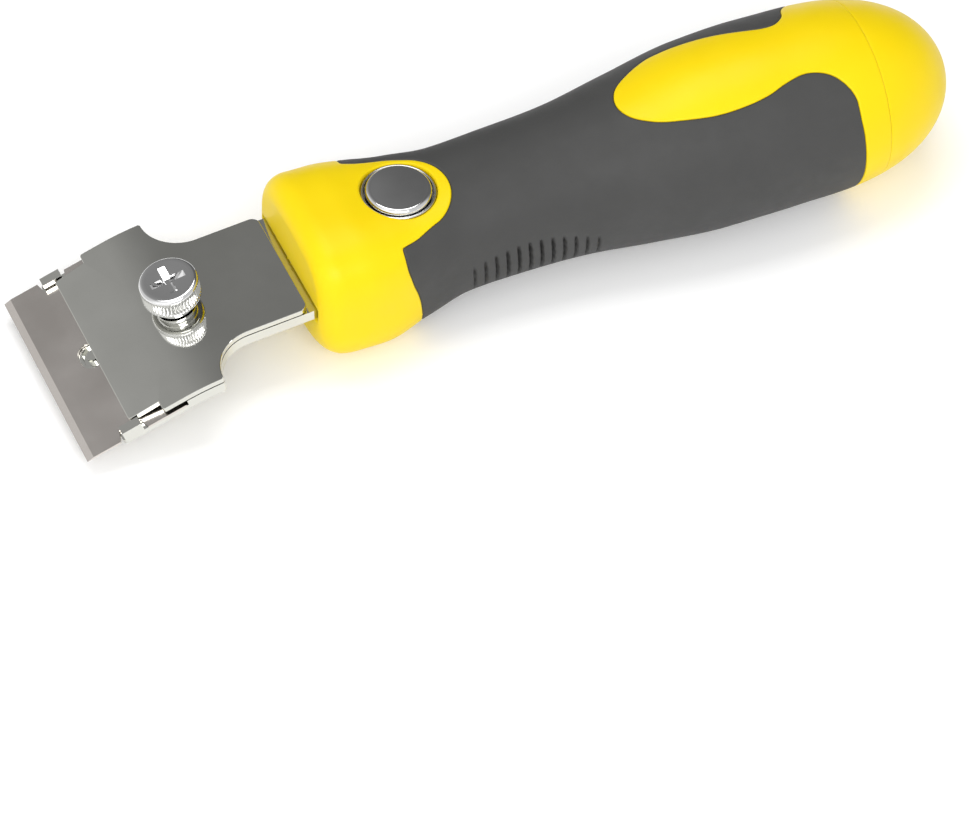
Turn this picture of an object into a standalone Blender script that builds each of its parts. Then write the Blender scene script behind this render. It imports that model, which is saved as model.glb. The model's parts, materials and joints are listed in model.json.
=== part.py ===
"""Razor scraper with a quick-release steel head and a two-shot handle.

The tool lies on its belly on the plane z = 0. +X runs from the cutting edge to the tail, +Z is up, and
the origin is under the middle of the bounding box. Every dimension below is in millimetres.
"""
import math

import bmesh
import bpy
from mathutils import Matrix, Vector

MM = 0.001
GAP = 0.3                 # clearance between neighbouring solids
COLLECTION = "razor_scraper"
CUTTERS = "cutters"

# ---- sheet-metal head: one bent path for both plates, u along it and h above its upper face --------
BEND_X = -60.4            # where the front and neck planes would meet
BEND_Z = 13.4
NECK_SLOPE = math.radians(5.9)
FRONT_SLOPE = math.radians(19.4)
BEND_FRONT = -6.2         # the bend's two ends, measured along the sheet from the screw axis
BEND_REAR = 3.8
BEND_STEPS = 6

CLAMP_FRONT = -16.1
CLAMP_STEP = -10.3        # where the clamp widens behind the blade lugs
SHOULDER_U = 0.9
NECK_REAR = 19.7
CLAMP_HALF_FRONT = 17.1
HEAD_HALF = 19.25
NECK_HALF = 11.6
CLAMP_THICK = 1.0
LIP_DROP = 0.5
CARRIER_TOP = -1.15
CARRIER_BOTTOM = -3.15
SEAT_DEPTH = 1.0          # blade seat milled in the carrier's upper face
SEAT_REAR = -6.1
CARRIER_FRONT = -18.6
LUG_REAR = -14.6
LUG_HALF_IN = 17.5
LUG_TOP = -0.35
TANG_HALF = 8.0
TANG_NECK_END = 24.4
TANG_END = 51.5
KEYHOLE_R = 3.0
KEY_SLOT_HALF = 1.75

# ---- blade in the head ----------------------------------------------------------------------------
BLADE_LENGTH = 39.0
BLADE_WIDTH = 19.0
BLADE_THICK = 0.4
BLADE_TOP = -1.62
EDGE_U = -25.5
EDGE_BEVEL = 1.3
NOTCH_DEPTH = 2.3
HEAD_NOTCH_HALF = 2.6    # the notches of the blade in the head sit close about the lugs
SLOT_HALF_LONG = 2.7
SLOT_R = 1.9
SLOT_AT = 8.7             # from the edge to the middle of the slot
LOCATING_PIN_R = 1.1

# ---- thumb screw ----------------------------------------------------------------------------------
KNOB_R = 5.1
KNOB_HIGH = 4.3
COLLAR_R = 3.7
COLLAR_HIGH = 2.0
SHANK_R = 2.0
SCREW_HOLE_R = 2.5
NUT_R = 4.0
NUT_HIGH = 3.0
SHANK_BELOW = 10.6        # from the sheet's upper face to the end of the shank
CLIP_HIGH = 0.8
CLIP_R = 3.1

# ---- handle: x, half width, half height, centre height, squareness of each section -----------------
HANDLE_SECTIONS = (
    (-38.0, 12.9, 8.6, 15.6, 3.2),
    (-37.0, 14.2, 10.8, 14.6, 3.4),
    (-34.8, 15.2, 12.5, 13.5, 3.5),
    (-30.4, 15.4, 13.15, 12.9, 3.2),
    (-24.1, 14.5, 12.75, 12.5, 3.4),
    (-17.4, 12.9, 11.6, 13.1, 3.4),
    (-9.4, 11.75, 11.05, 13.9, 2.9),
    (0.6, 12.15, 11.7, 14.55, 2.5),
    (12.1, 13.05, 12.75, 15.0, 2.2),
    (24.6, 14.95, 14.65, 15.6, 2.1),
    (37.6, 16.7, 16.6, 16.4, 2.0),
    (47.6, 16.9, 16.95, 16.75, 2.0),
    (53.6, 16.8, 16.8, 16.75, 2.0),
)
DOME_START = 53.6
TAIL_X = 83.72
FRAME_SHIFT = -0.505      # brings the middle of the whole tool over the origin
DOME_POWER = 2.7
RING_STEPS = 40
GRIP_THICK = 1.8
GRIP_X0 = -24.0
GRIP_X1 = 64.0
CAP_SEAM = 66.9

# edge of the soft grip at the front, as x at height z, and the collar line at the tail
GRIP_FRONT = ((-22.4, 40.0), (-22.4, 22.4), (-21.4, 16.5), (-19.6, 10.0), (-18.0, -4.0))
GRIP_REAR = ((61.9, -4.0), (62.0, 9.0), (61.5, 20.0), (60.6, 29.0), (60.2, 40.0))
LOBE_X = -18.4            # the button and the round yellow field about it share this centre
LOBE_R = 8.5
LOBE_CORNER = (-22.3, 11.3)
THUMB_PAD = ((21.9, 0.0), (22.9, 3.2), (25.6, 6.2), (30.4, 8.0), (36.0, 8.7), (42.0, 8.6),
             (48.0, 8.0), (52.6, 7.3), (55.8, 7.4), (58.6, 9.2), (60.5, 12.6), (61.7, 15.6), (62.4, 20.0))

# ---- release button -------------------------------------------------------------------------------
BUTTON_TOP = 25.2
BUTTON_FACE_R = 4.9
BUTTON_R = 5.75
BUTTON_FLANGE_R = 6.1
BUTTON_LOW = 20.4
SLEEVE_R = 6.5
SLEEVE_BORE = 6.3
SLEEVE_LIP_R = 5.95
SLEEVE_TOP = 24.35
SLEEVE_LOW = 17.9
STEM_R = 2.5
STEM_WAIST_R = 1.5
STEM_LOW = 10.4
WAIST_LOW = 16.45         # down by the travel, the waist stands level with the tang
WAIST_HIGH = 19.4
SPRING_R = 2.4
SPRING_WIRE_R = 0.35
SPRING_LOW = 4.7
SPRING_HIGH = 10.0
SPRING_TURNS = 4.5
POCKET_R = 3.6

# ---- spare blade store ----------------------------------------------------------------------------
BAY_X0 = 24.2
BAY_HALF_WIDE = 10.7
BAY_HALF_HIGH = 5.4
BAY_CORNER = 2.0
BAY_Z = 16.3
BORE_X0 = 62.6
BORE_R = 13.4
SKIRT_R = 13.1
SKIRT_INNER_R = 12.0
SKIRT_X0 = 63.4
CAP_HOLLOW_END = 68.4
TRAY_X0 = 24.6
TRAY_X1 = 67.6
TRAY_WALL = 0.8
TONGUE_END = 73.0
TONGUE_HALF = 4.0
TONGUE_THICK = 2.6
PIN_R = 1.0
STACK_GAP = 0.16
# length, width, thickness and edge bevel of each kind of spare blade
PLASTIC_SPARE = (41.0, 17.8, 1.6, 2.2)
STEEL_SPARE = (37.3, 18.3, 0.8, 2.0)
RAZOR_SPARE = (38.6, 18.6, 0.3, 0.8)
PLASTIC_SPARES = 2
STEEL_SPARES = 4
SPINE_LENGTH = 38.0
SPINE_DEEP = 4.6
SPINE_WALL = 0.3

COLOURS = {
    "yellow_plastic": ((0.95, 0.72, 0.02, 1.0), 0.38, 0.0),
    "grip_rubber": ((0.075, 0.075, 0.072, 1.0), 0.62, 0.0),
    "polished_steel": ((0.62, 0.62, 0.60, 1.0), 0.12, 1.0),
    "ground_steel": ((0.48, 0.46, 0.44, 1.0), 0.3, 1.0),
    "chrome": ((0.75, 0.75, 0.76, 1.0), 0.08, 1.0),
    "spring_steel": ((0.4, 0.4, 0.4, 1.0), 0.3, 1.0),
    "blade_plastic": ((0.93, 0.62, 0.04, 1.0), 0.42, 0.0),
    "tray_plastic": ((0.05, 0.05, 0.05, 1.0), 0.5, 0.0),
}


# ---- scene helpers --------------------------------------------------------------------------------
def clear_scene():
    for item in list(bpy.data.objects):
        bpy.data.objects.remove(item, do_unlink=True)


def new_collection(name):
    group = bpy.data.collections.new(name)
    bpy.context.scene.collection.children.link(group)
    return group


def new_material(slot):
    colour, roughness, metallic = COLOURS[slot]
    material = bpy.data.materials.new(slot)
    material.use_nodes = True
    shader = material.node_tree.nodes["Principled BSDF"]
    shader.inputs["Base Color"].default_value = colour
    shader.inputs["Roughness"].default_value = roughness
    shader.inputs["Metallic"].default_value = metallic
    return material


def link(name, mesh, group, slot=None, smooth=None):
    """Make an object of a mesh; smooth is the crease angle in degrees for a rounded piece."""
    item = bpy.data.objects.new(name, mesh)
    group.objects.link(item)
    if slot:
        mesh.materials.clear()
        mesh.materials.append(MATERIALS[slot])
    else:
        item.hide_render = True
        item.display_type = "WIRE"
    if smooth:
        mesh.shade_smooth()
        mesh.set_sharp_from_angle(angle=math.radians(smooth))
    return item


def mesh_from(bm, name):
    bmesh.ops.recalc_face_normals(bm, faces=bm.faces)
    mesh = bpy.data.meshes.new(name)
    bm.to_mesh(mesh)
    bm.free()
    return mesh


def cut(item, cutter, operation="DIFFERENCE"):
    modifier = item.modifiers.new(cutter.name, "BOOLEAN")
    modifier.operation = operation
    modifier.solver = "EXACT"
    modifier.object = cutter


def baked_mesh(item):
    """The mesh an object evaluates to, in world space; the object itself is removed."""
    bpy.context.view_layer.update()
    evaluated = item.evaluated_get(bpy.context.evaluated_depsgraph_get())
    mesh = bpy.data.meshes.new_from_object(evaluated)
    mesh.transform(item.matrix_world)
    bm = bmesh.new()
    bm.from_mesh(mesh)
    bmesh.ops.remove_doubles(bm, verts=bm.verts, dist=1e-6)
    bmesh.ops.recalc_face_normals(bm, faces=bm.faces)
    bm.to_mesh(mesh)
    bm.free()
    bpy.data.objects.remove(item, do_unlink=True)
    return mesh


# ---- solids ---------------------------------------------------------------------------------------
def arc(cx, cy, radius, start, end, steps):
    """Points of an arc from start to end, angles in degrees, counter-clockwise when end > start."""
    angles = [math.radians(start + (end - start) * i / steps) for i in range(steps + 1)]
    return [(cx + radius * math.cos(a), cy + radius * math.sin(a)) for a in angles]


def circle(cx, cy, radius, steps=24):
    return arc(cx, cy, radius, 0, 360, steps)[:-1]


def mirrored(half):
    """A closed outline from its half at y >= 0, whose first and last points may lie on y = 0."""
    return list(half) + [(x, -y) for x, y in reversed(half) if y > 1e-9]


def smooth_line(points, steps):
    """Catmull-Rom curve through the points."""
    ends = [points[0]] + list(points) + [points[-1]]
    line = []
    for a, b, c, d in zip(ends, ends[1:], ends[2:], ends[3:]):
        for i in range(steps):
            t = i / steps
            line.append(tuple(
                0.5 * (2 * q + (r - p) * t + (2 * p - 5 * q + 4 * r - s) * t * t
                       + (3 * q - p - 3 * r + s) * t ** 3)
                for p, q, r, s in zip(a, b, c, d)))
    line.append(points[-1])
    return line


def slab(name, outlines, low, high, axis="Z"):
    """Mesh of a flat outline, with any further outlines as holes, between two heights.

    axis Z: the outline lies in XY. axis Y: the outline is (x, z) and low/high are y.
    axis X: the outline is (y, z) and low/high are x.
    """
    curve = bpy.data.curves.new(name, "CURVE")
    curve.dimensions = "2D"
    curve.fill_mode = "BOTH"
    curve.extrude = 0.5 * (high - low) * MM
    for outline in outlines:
        spline = curve.splines.new("POLY")
        spline.points.add(len(outline) - 1)
        for point, (a, b) in zip(spline.points, outline):
            point.co = (a * MM, b * MM, 0.0, 1.0)
        spline.use_cyclic_u = True
    item = bpy.data.objects.new(name, curve)
    bpy.context.scene.collection.objects.link(item)
    middle = 0.5 * (high + low) * MM
    if axis == "Z":
        item.matrix_world = Matrix.Translation((0, 0, middle))
    elif axis == "Y":
        turn = Matrix(((1, 0, 0), (0, 0, -1), (0, 1, 0))).to_4x4()
        item.matrix_world = Matrix.Translation((0, middle, 0)) @ turn
    else:
        turn = Matrix(((0, 0, 1), (1, 0, 0), (0, 1, 0))).to_4x4()
        item.matrix_world = Matrix.Translation((middle, 0, 0)) @ turn
    return baked_mesh(item)


def turned(name, profile, steps=32, group=None, slot=None, smooth=35):
    """A profile of (radius, z) turned about Z; it runs from the top down the outer side."""
    bm = bmesh.new()
    closed = profile[0] == profile[-1]
    points = [bm.verts.new((r * MM, 0, z * MM)) for r, z in (profile[:-1] if closed else profile)]
    if closed:
        points.append(points[0])
    for a, b in zip(points, points[1:]):
        bm.edges.new((a, b))
    mesh = bpy.data.meshes.new(name)
    bm.to_mesh(mesh)
    bm.free()
    item = link(name, mesh, group, slot)
    screw = item.modifiers.new("turn", "SCREW")
    screw.axis = "Z"
    screw.angle = 2 * math.pi
    screw.steps = steps
    screw.render_steps = steps
    screw.use_merge_vertices = True
    screw.merge_threshold = 1e-6
    screw.use_smooth_shade = bool(smooth)
    return item


def rod(name, radius, low, high, steps=24):
    """Mesh of a plain cylinder on Z."""
    bm = bmesh.new()
    bmesh.ops.create_cone(bm, cap_ends=True, segments=steps, radius1=radius * MM, radius2=radius * MM,
                          depth=(high - low) * MM,
                          matrix=Matrix.Translation((0, 0, 0.5 * (high + low) * MM)))
    return mesh_from(bm, name)


def block(name, x, y, z):
    """Mesh of a box between three pairs of limits."""
    bm = bmesh.new()
    bmesh.ops.create_cube(bm, size=1.0)
    size = Vector((x[1] - x[0], y[1] - y[0], z[1] - z[0])) * MM
    middle = Vector((x[0] + x[1], y[0] + y[1], z[0] + z[1])) * 0.5 * MM
    bmesh.ops.scale(bm, vec=size, verts=bm.verts)
    bmesh.ops.translate(bm, vec=middle, verts=bm.verts)
    return mesh_from(bm, name)


def slice_at(mesh, values, axis=0):
    """Add an edge loop across a mesh at each value along an axis."""
    bm = bmesh.new()
    bm.from_mesh(mesh)
    normal = Vector((0, 0, 0))
    normal[axis] = 1.0
    for value in values:
        geometry = list(bm.verts) + list(bm.edges) + list(bm.faces)
        bmesh.ops.bisect_plane(bm, geom=geometry, dist=1e-8, plane_co=normal * value * MM, plane_no=normal)
    bm.to_mesh(mesh)
    bm.free()


# ---- the bent path of the head --------------------------------------------------------------------
BEND_ANGLE = FRONT_SLOPE - NECK_SLOPE
BEND_RADIUS = (BEND_REAR - BEND_FRONT) / BEND_ANGLE
BEND_TANGENT = BEND_RADIUS * math.tan(BEND_ANGLE / 2)


def path_frame(u):
    """Point of the sheet's upper face at u, and the slope there."""
    rear_x = BEND_X + BEND_TANGENT * math.cos(NECK_SLOPE)
    rear_z = BEND_Z + BEND_TANGENT * math.sin(NECK_SLOPE)
    if u >= BEND_REAR:
        run = u - BEND_REAR
        return rear_x + run * math.cos(NECK_SLOPE), rear_z + run * math.sin(NECK_SLOPE), NECK_SLOPE
    inside = min(BEND_REAR - u, BEND_REAR - BEND_FRONT)
    slope = NECK_SLOPE + inside / BEND_RADIUS
    x = rear_x - BEND_RADIUS * (math.sin(slope) - math.sin(NECK_SLOPE))
    z = rear_z - BEND_RADIUS * (math.cos(NECK_SLOPE) - math.cos(slope))
    beyond = max(BEND_FRONT - u, 0.0)
    return x - beyond * math.cos(slope), z - beyond * math.sin(slope), slope


def bend_sheet(mesh):
    """Carry a mesh from flat (u, y, h) onto the bent path."""
    steps = [BEND_FRONT + (BEND_REAR - BEND_FRONT) * i / BEND_STEPS for i in range(BEND_STEPS + 1)]
    slice_at(mesh, steps)
    for vertex in mesh.vertices:
        u, h = vertex.co.x / MM, vertex.co.z / MM
        x, z, slope = path_frame(u)
        vertex.co.x = (x - h * math.sin(slope)) * MM
        vertex.co.z = (z + h * math.cos(slope)) * MM
    mesh.update()


def sheet_matrix(u):
    """Frame standing on the sheet at u, its Z along the sheet's normal."""
    x, z, slope = path_frame(u)
    return Matrix.Translation((x * MM, 0, z * MM)) @ Matrix.Rotation(-slope, 4, "Y")


# ---- handle form ----------------------------------------------------------------------------------
def monotone_slopes(xs, ys):
    """Slopes of a shape-keeping cubic through the points."""
    steps = [(y1 - y0) / (x1 - x0) for x0, x1, y0, y1 in zip(xs, xs[1:], ys, ys[1:])]
    slopes = [steps[0]]
    for a, b in zip(steps, steps[1:]):
        slopes.append(0.0 if a * b <= 0 else 2 * a * b / (a + b))
    slopes.append(steps[-1])
    return slopes


SECTION_X = [section[0] for section in HANDLE_SECTIONS]
SECTION_VALUES = [[section[k] for section in HANDLE_SECTIONS] for k in range(1, 5)]
SECTION_SLOPES = [monotone_slopes(SECTION_X, values) for values in SECTION_VALUES]


def section_at(x):
    """Half width, half height, centre height and squareness of the handle at x."""
    if x >= DOME_START:
        reach = min((x - DOME_START) / (TAIL_X - DOME_START), 1.0)
        shrink = math.sqrt(max(1 - reach ** DOME_POWER, 0.0))
        wide, high, centre, square = (values[-1] for values in SECTION_VALUES)
        return wide * shrink, high * shrink, centre - 0.4 * reach, square
    i = max(k for k, start in enumerate(SECTION_X) if start <= x)
    span = SECTION_X[i + 1] - SECTION_X[i]
    t = (x - SECTION_X[i]) / span
    result = []
    for values, slopes in zip(SECTION_VALUES, SECTION_SLOPES):
        a, b = values[i], values[i + 1]
        m, n = slopes[i] * span, slopes[i + 1] * span
        result.append((2 * t ** 3 - 3 * t * t + 1) * a + (t ** 3 - 2 * t * t + t) * m
                      + (3 * t * t - 2 * t ** 3) * b + (t ** 3 - t * t) * n)
    return tuple(result)


def ring(x, inset, steps):
    """Points of the handle's section at x, drawn in by inset."""
    wide, high, centre, square = section_at(x)
    wide, high = wide - inset, high - inset
    points = []
    for i in range(steps):
        angle = 2 * math.pi * i / steps
        c, s = math.cos(angle), math.sin(angle)
        reach = (abs(c / wide) ** square + abs(s / high) ** square) ** (-1 / square)
        points.append((x, reach * c, centre + reach * s))
    return points


def stations(start, end):
    """Section places from start to end: close together at the nose and the tail."""
    marks = [x for x in (-37.6, -37.0, -36.1, -34.8, -32.8) if start < x < end]
    marks += [x for x in [-30.4 + 4.0 * i for i in range(22)] if start < x < min(end, DOME_START)]
    dome = TAIL_X - DOME_START
    marks += [x for x in [DOME_START + dome * math.sin(math.radians(9 * i)) for i in range(10)]
              if start < x < end]
    return [start] + marks + [end]


def bridge(bm, first, second):
    count = len(first)
    for i in range(count):
        j = (i + 1) % count
        bm.faces.new((first[i], first[j], second[j], second[i]))


def rings_between(bm, start, end, inset, steps):
    rows = []
    for x in stations(start, end):
        rows.append([bm.verts.new(Vector(point) * MM) for point in ring(x, inset, steps)])
    for first, second in zip(rows, rows[1:]):
        bridge(bm, first, second)
    return rows


def handle_solid(name, start, end, inset, steps=RING_STEPS):
    """Closed loft of the handle's form between two places."""
    bm = bmesh.new()
    rows = rings_between(bm, start, min(end, TAIL_X - 0.02), inset, steps)
    bm.faces.new(rows[0])
    bm.faces.new(rows[-1])
    return mesh_from(bm, name)


def handle_tube(name, start, end, outer, inner, steps=RING_STEPS):
    """Closed tube between two insets of the handle's form."""
    bm = bmesh.new()
    outside = rings_between(bm, start, end, outer, steps)
    inside = rings_between(bm, start, end, inner, steps)
    bridge(bm, outside[0], inside[0])
    bridge(bm, outside[-1], inside[-1])
    return mesh_from(bm, name)


def grip_side(name, grow):
    """Prism across the tool that holds the soft grip between its front and rear edges."""
    front = smooth_line(GRIP_FRONT, 3)
    rear = smooth_line(GRIP_REAR, 3)
    outline = [(x - grow, z) for x, z in front[::-1]][::-1] + [(x + grow, z) for x, z in rear]
    return slab(name, [outline], -30, 30, axis="Y")


def lobe_outline(grow):
    """Plan of the yellow field about the button."""
    radius = LOBE_R + grow
    corner_x, corner_y = LOBE_CORNER
    half = [(-45.0, corner_y + grow), (corner_x, corner_y + grow)]
    half += [(LOBE_X + radius * math.cos(math.radians(a)), radius * math.sin(math.radians(a)))
             for a in range(80, -1, -10)]
    return mirrored(half)


def pad_outline(grow):
    """Plan of the yellow thumb pad, open into the tail."""
    line = smooth_line(THUMB_PAD, 3)
    grown = []
    for i, (x, y) in enumerate(line):
        x0, y0 = line[max(i - 1, 0)]
        x1, y1 = line[min(i + 1, len(line) - 1)]
        dx, dy = x1 - x0, y1 - y0
        size = math.hypot(dx, dy)
        if i == 0:
            dx, dy, size = 0.0, 1.0, 1.0
        grown.append((x - grow * dy / size, max(y + grow * dx / size, 0.0)))
    return mirrored(grown + [(75.0, grown[-1][1])])


# ---- head pieces ----------------------------------------------------------------------------------
def head_half_outline(front, front_half):
    """Half plan of a head plate from its front edge to the straight part of its neck."""
    fillet = HEAD_HALF - 0.3 - NECK_HALF
    shoulder = arc(SHOULDER_U + fillet + 0.3, HEAD_HALF - 0.3, fillet, 180, 270, 8)
    return [(front, 0.0), (front, front_half - 0.5), (front + 0.5, front_half)], shoulder


def make_clamp_plate():
    start, shoulder = head_half_outline(CLAMP_FRONT, CLAMP_HALF_FRONT)
    half = start + [(CLAMP_STEP, CLAMP_HALF_FRONT + 0.2), (CLAMP_STEP, HEAD_HALF - 0.3),
                    (CLAMP_STEP + 0.3, HEAD_HALF), (SHOULDER_U, HEAD_HALF)]
    half += shoulder
    half += arc(NECK_REAR - 1.6, NECK_HALF - 1.6, 1.6, 90, 0, 4)
    mesh = slab("clamp_plate", [mirrored(half), circle(0, 0, SCREW_HOLE_R)], -CLAMP_THICK, 0)
    slice_at(mesh, [CLAMP_STEP])
    for vertex in mesh.vertices:
        u = vertex.co.x / MM
        if u < CLAMP_STEP:
            vertex.co.z -= LIP_DROP * MM * (CLAMP_STEP - u) / (CLAMP_STEP - CLAMP_FRONT)
    bend_sheet(mesh)
    return link("clamp_plate", mesh, PARTS, "polished_steel")


def tang_half_outline():
    """Half plan of the tang behind the neck, with the key slot open at its end."""
    hole = [(LOBE_X - BEND_X - 1.2 + KEYHOLE_R * math.cos(math.radians(a)),
             KEYHOLE_R * math.sin(math.radians(a))) for a in range(36, 181, 24)]
    return ([(TANG_NECK_END, NECK_HALF), (TANG_NECK_END + 0.6, TANG_HALF),
             (TANG_END - 2.0, TANG_HALF), (TANG_END, TANG_HALF - 2.0), (TANG_END, KEY_SLOT_HALF)] + hole)


def make_blade_carrier():
    start, shoulder = head_half_outline(CARRIER_FRONT, HEAD_HALF)
    half = start + [(SHOULDER_U, HEAD_HALF)] + shoulder + tang_half_outline()
    flat = link("carrier_blank", slab("carrier", [mirrored(half), circle(0, 0, SCREW_HOLE_R)],
                                      CARRIER_BOTTOM, CARRIER_TOP), TOOLS)
    seat = link("blade_seat", block("blade_seat", (CARRIER_FRONT - 2, SEAT_REAR),
                                    (-HEAD_HALF - 2, HEAD_HALF + 2),
                                    (CARRIER_TOP - SEAT_DEPTH, CARRIER_TOP + 2)), TOOLS)
    cut(flat, seat)
    for side in (-1, 1):
        y = sorted((side * LUG_HALF_IN, side * HEAD_HALF))
        lug = link("blade_lug_%d" % side, block("blade_lug", (CARRIER_FRONT + 0.4, LUG_REAR), y,
                                                (CARRIER_TOP - SEAT_DEPTH - 0.5, LUG_TOP)), TOOLS)
        cut(flat, lug, "UNION")
    mesh = baked_mesh(flat)
    bend_sheet(mesh)
    return link("blade_carrier", mesh, PARTS, "polished_steel")


def blade_outline(length, width, notch_at, notch_half, notch_deep):
    """Plan of a scraper blade, edge along u = 0, with a notch in each end at notch_at."""
    half = [(0.0, 0.0), (0.0, length / 2), (notch_at - notch_half, length / 2),
            (notch_at - notch_half + 0.6, length / 2 - notch_deep),
            (notch_at + notch_half - 0.6, length / 2 - notch_deep), (notch_at + notch_half, length / 2),
            (width, length / 2), (width, 0.0)]
    return mirrored(half)


def slot_outline(at, half_long, radius):
    """Plan of the round-ended slot in the middle of a blade."""
    straight = half_long - radius
    return arc(at, straight, radius, 0, 180, 10) + arc(at, -straight, radius, 180, 360, 10)


def grind_edge(mesh, edge, bevel, top, drop):
    """Slope the upper face down to the cutting edge."""
    slice_at(mesh, [edge + bevel])
    for vertex in mesh.vertices:
        u, h = vertex.co.x / MM, vertex.co.z / MM
        reach = (edge + bevel - u) / bevel
        if reach > 1e-6 and h > top - 1e-4:
            vertex.co.z -= drop * MM * reach


def make_scraper_blade():
    notch_at = 0.5 * (CARRIER_FRONT + 0.4 + LUG_REAR) - EDGE_U
    outline = blade_outline(BLADE_LENGTH, BLADE_WIDTH, notch_at, HEAD_NOTCH_HALF, NOTCH_DEPTH)
    slot = slot_outline(SLOT_AT, SLOT_HALF_LONG, SLOT_R)
    mesh = slab("scraper_blade", [outline, slot], BLADE_TOP - BLADE_THICK, BLADE_TOP)
    grind_edge(mesh, 0.0, EDGE_BEVEL, BLADE_TOP, BLADE_THICK - 0.06)
    x, z, slope = path_frame(EDGE_U)
    item = link("scraper_blade", mesh, PARTS, "ground_steel")
    item.location = (x * MM, 0, z * MM)
    item.rotation_euler = (0, -slope, 0)
    return item


def make_locating_pin():
    centre = EDGE_U + SLOT_AT + 0.4
    top = -CLAMP_THICK - LIP_DROP - 0.2
    low = CARRIER_TOP - SEAT_DEPTH + 0.1
    item = link("blade_locating_pin", rod("blade_locating_pin", LOCATING_PIN_R, low, top, 16), PARTS,
                "polished_steel", 35)
    x, z, slope = path_frame(centre)
    item.location = (x * MM, 0, z * MM)
    item.rotation_euler = (0, -slope, 0)
    return item


def place_on_screw_axis(item):
    item.matrix_world = sheet_matrix(0.0)
    return item


def make_thumb_screw():
    knob_low = COLLAR_HIGH
    knob_top = COLLAR_HIGH + KNOB_HIGH
    rim = 0.6
    start = 0.35          # the collar stands clear of the curved plate
    groove = -SHANK_BELOW + CLIP_HIGH + 1.0
    profile = [(0, knob_top), (KNOB_R - rim, knob_top), (KNOB_R, knob_top - rim), (KNOB_R, knob_low + rim),
               (KNOB_R - rim, knob_low), (COLLAR_R, knob_low), (COLLAR_R, start), (SHANK_R, start),
               (SHANK_R, groove), (SHANK_R - 0.5, groove), (SHANK_R - 0.5, -SHANK_BELOW + 0.8),
               (SHANK_R, -SHANK_BELOW + 0.8), (SHANK_R, -SHANK_BELOW + 0.3),
               (SHANK_R - 0.3, -SHANK_BELOW), (0, -SHANK_BELOW)]
    screw = turned("thumb_screw", profile, 32, PARTS, "chrome")
    place_on_screw_axis(screw)
    for i, (x, y) in enumerate(((2.7, 0.65), (0.65, 2.7))):
        slot = link("cross_slot_%d" % i, block("cross_slot", (-x, x), (-y, y),
                                               (knob_top - 1.5, knob_top + 1)), TOOLS)
        place_on_screw_axis(slot)
        cut(screw, slot)
    return screw


def make_screw_retainer():
    high = -SHANK_BELOW + 1.65
    outer = circle(0, 0, CLIP_R)
    inner = circle(0, 0, SHANK_R - 0.3)
    mesh = slab("screw_retainer", [outer, inner], high - CLIP_HIGH + 0.1, high)
    return place_on_screw_axis(link("screw_retainer", mesh, PARTS, "spring_steel"))


def make_clinch_nut():
    top = CARRIER_BOTTOM - 0.25
    mesh = slab("clinch_nut", [circle(0, 0, NUT_R, 24), circle(0, 0, SHANK_R + 0.2)], top - NUT_HIGH, top)
    return place_on_screw_axis(link("clinch_nut", mesh, PARTS, "polished_steel"))


# ---- handle pieces --------------------------------------------------------------------------------
def make_grip_cutters(prefix, grow_side, grow_plan):
    side = link(prefix + "_side", grip_side(prefix, grow_side), TOOLS)
    lobe = link(prefix + "_lobe", slab(prefix, [lobe_outline(grow_plan)], 17.0, 50.0), TOOLS)
    pad = link(prefix + "_pad", slab(prefix, [pad_outline(grow_plan)], 18.0, 50.0), TOOLS)
    return side, lobe, pad


def trim_grip(item, cutters):
    side, lobe, pad = cutters
    cut(item, side, "INTERSECT")
    cut(item, lobe)
    cut(item, pad)


def make_soft_grip(floor):
    mesh = handle_tube("soft_grip", GRIP_X0, GRIP_X1, 0.0, GRIP_THICK)
    grip = link("soft_grip", mesh, PARTS, "grip_rubber", 40)
    trim_grip(grip, make_grip_cutters("grip_edge", -GAP / 2, GAP / 2))
    cut(grip, floor)
    return grip


def make_grip_seat():
    """The room for the soft grip in the hard core."""
    mesh = handle_tube("grip_seat", GRIP_X0 - 1, GRIP_X1 + 1, -1.5, GRIP_THICK + GAP)
    seat = link("grip_seat", mesh, TOOLS)
    trim_grip(seat, make_grip_cutters("seat_edge", GAP / 2, -GAP / 2))
    return seat


def make_tang_room():
    """The slot in the core for the carrier's neck and tang."""
    mouth, throat = NECK_HALF + GAP, TANG_HALF + GAP
    half = [(NECK_REAR - 2, mouth), (TANG_NECK_END + 0.9, mouth), (TANG_NECK_END + 1.2, throat),
            (TANG_END + 0.4, throat)]
    mesh = slab("tang_room", [mirrored(half)], CARRIER_BOTTOM - 0.25, CARRIER_TOP + 0.25)
    bend_sheet(mesh)
    return link("tang_room", mesh, TOOLS)


def rounded_box_outline(half_a, half_b, centre_b, corner):
    """Outline (y, z) of a box with round corners."""
    points = []
    for sign_a, sign_b, start in ((1, 1, 0), (-1, 1, 90), (-1, -1, 180), (1, -1, 270)):
        points += arc(sign_a * (half_a - corner), centre_b + sign_b * (half_b - corner), corner,
                      start, start + 90, 4)
    return points


def tail_bore(name, radius, start, end, steps=40):
    return link(name, slab(name, [circle(0, BAY_Z, radius, steps)], start, end, axis="X"), TOOLS)


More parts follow.
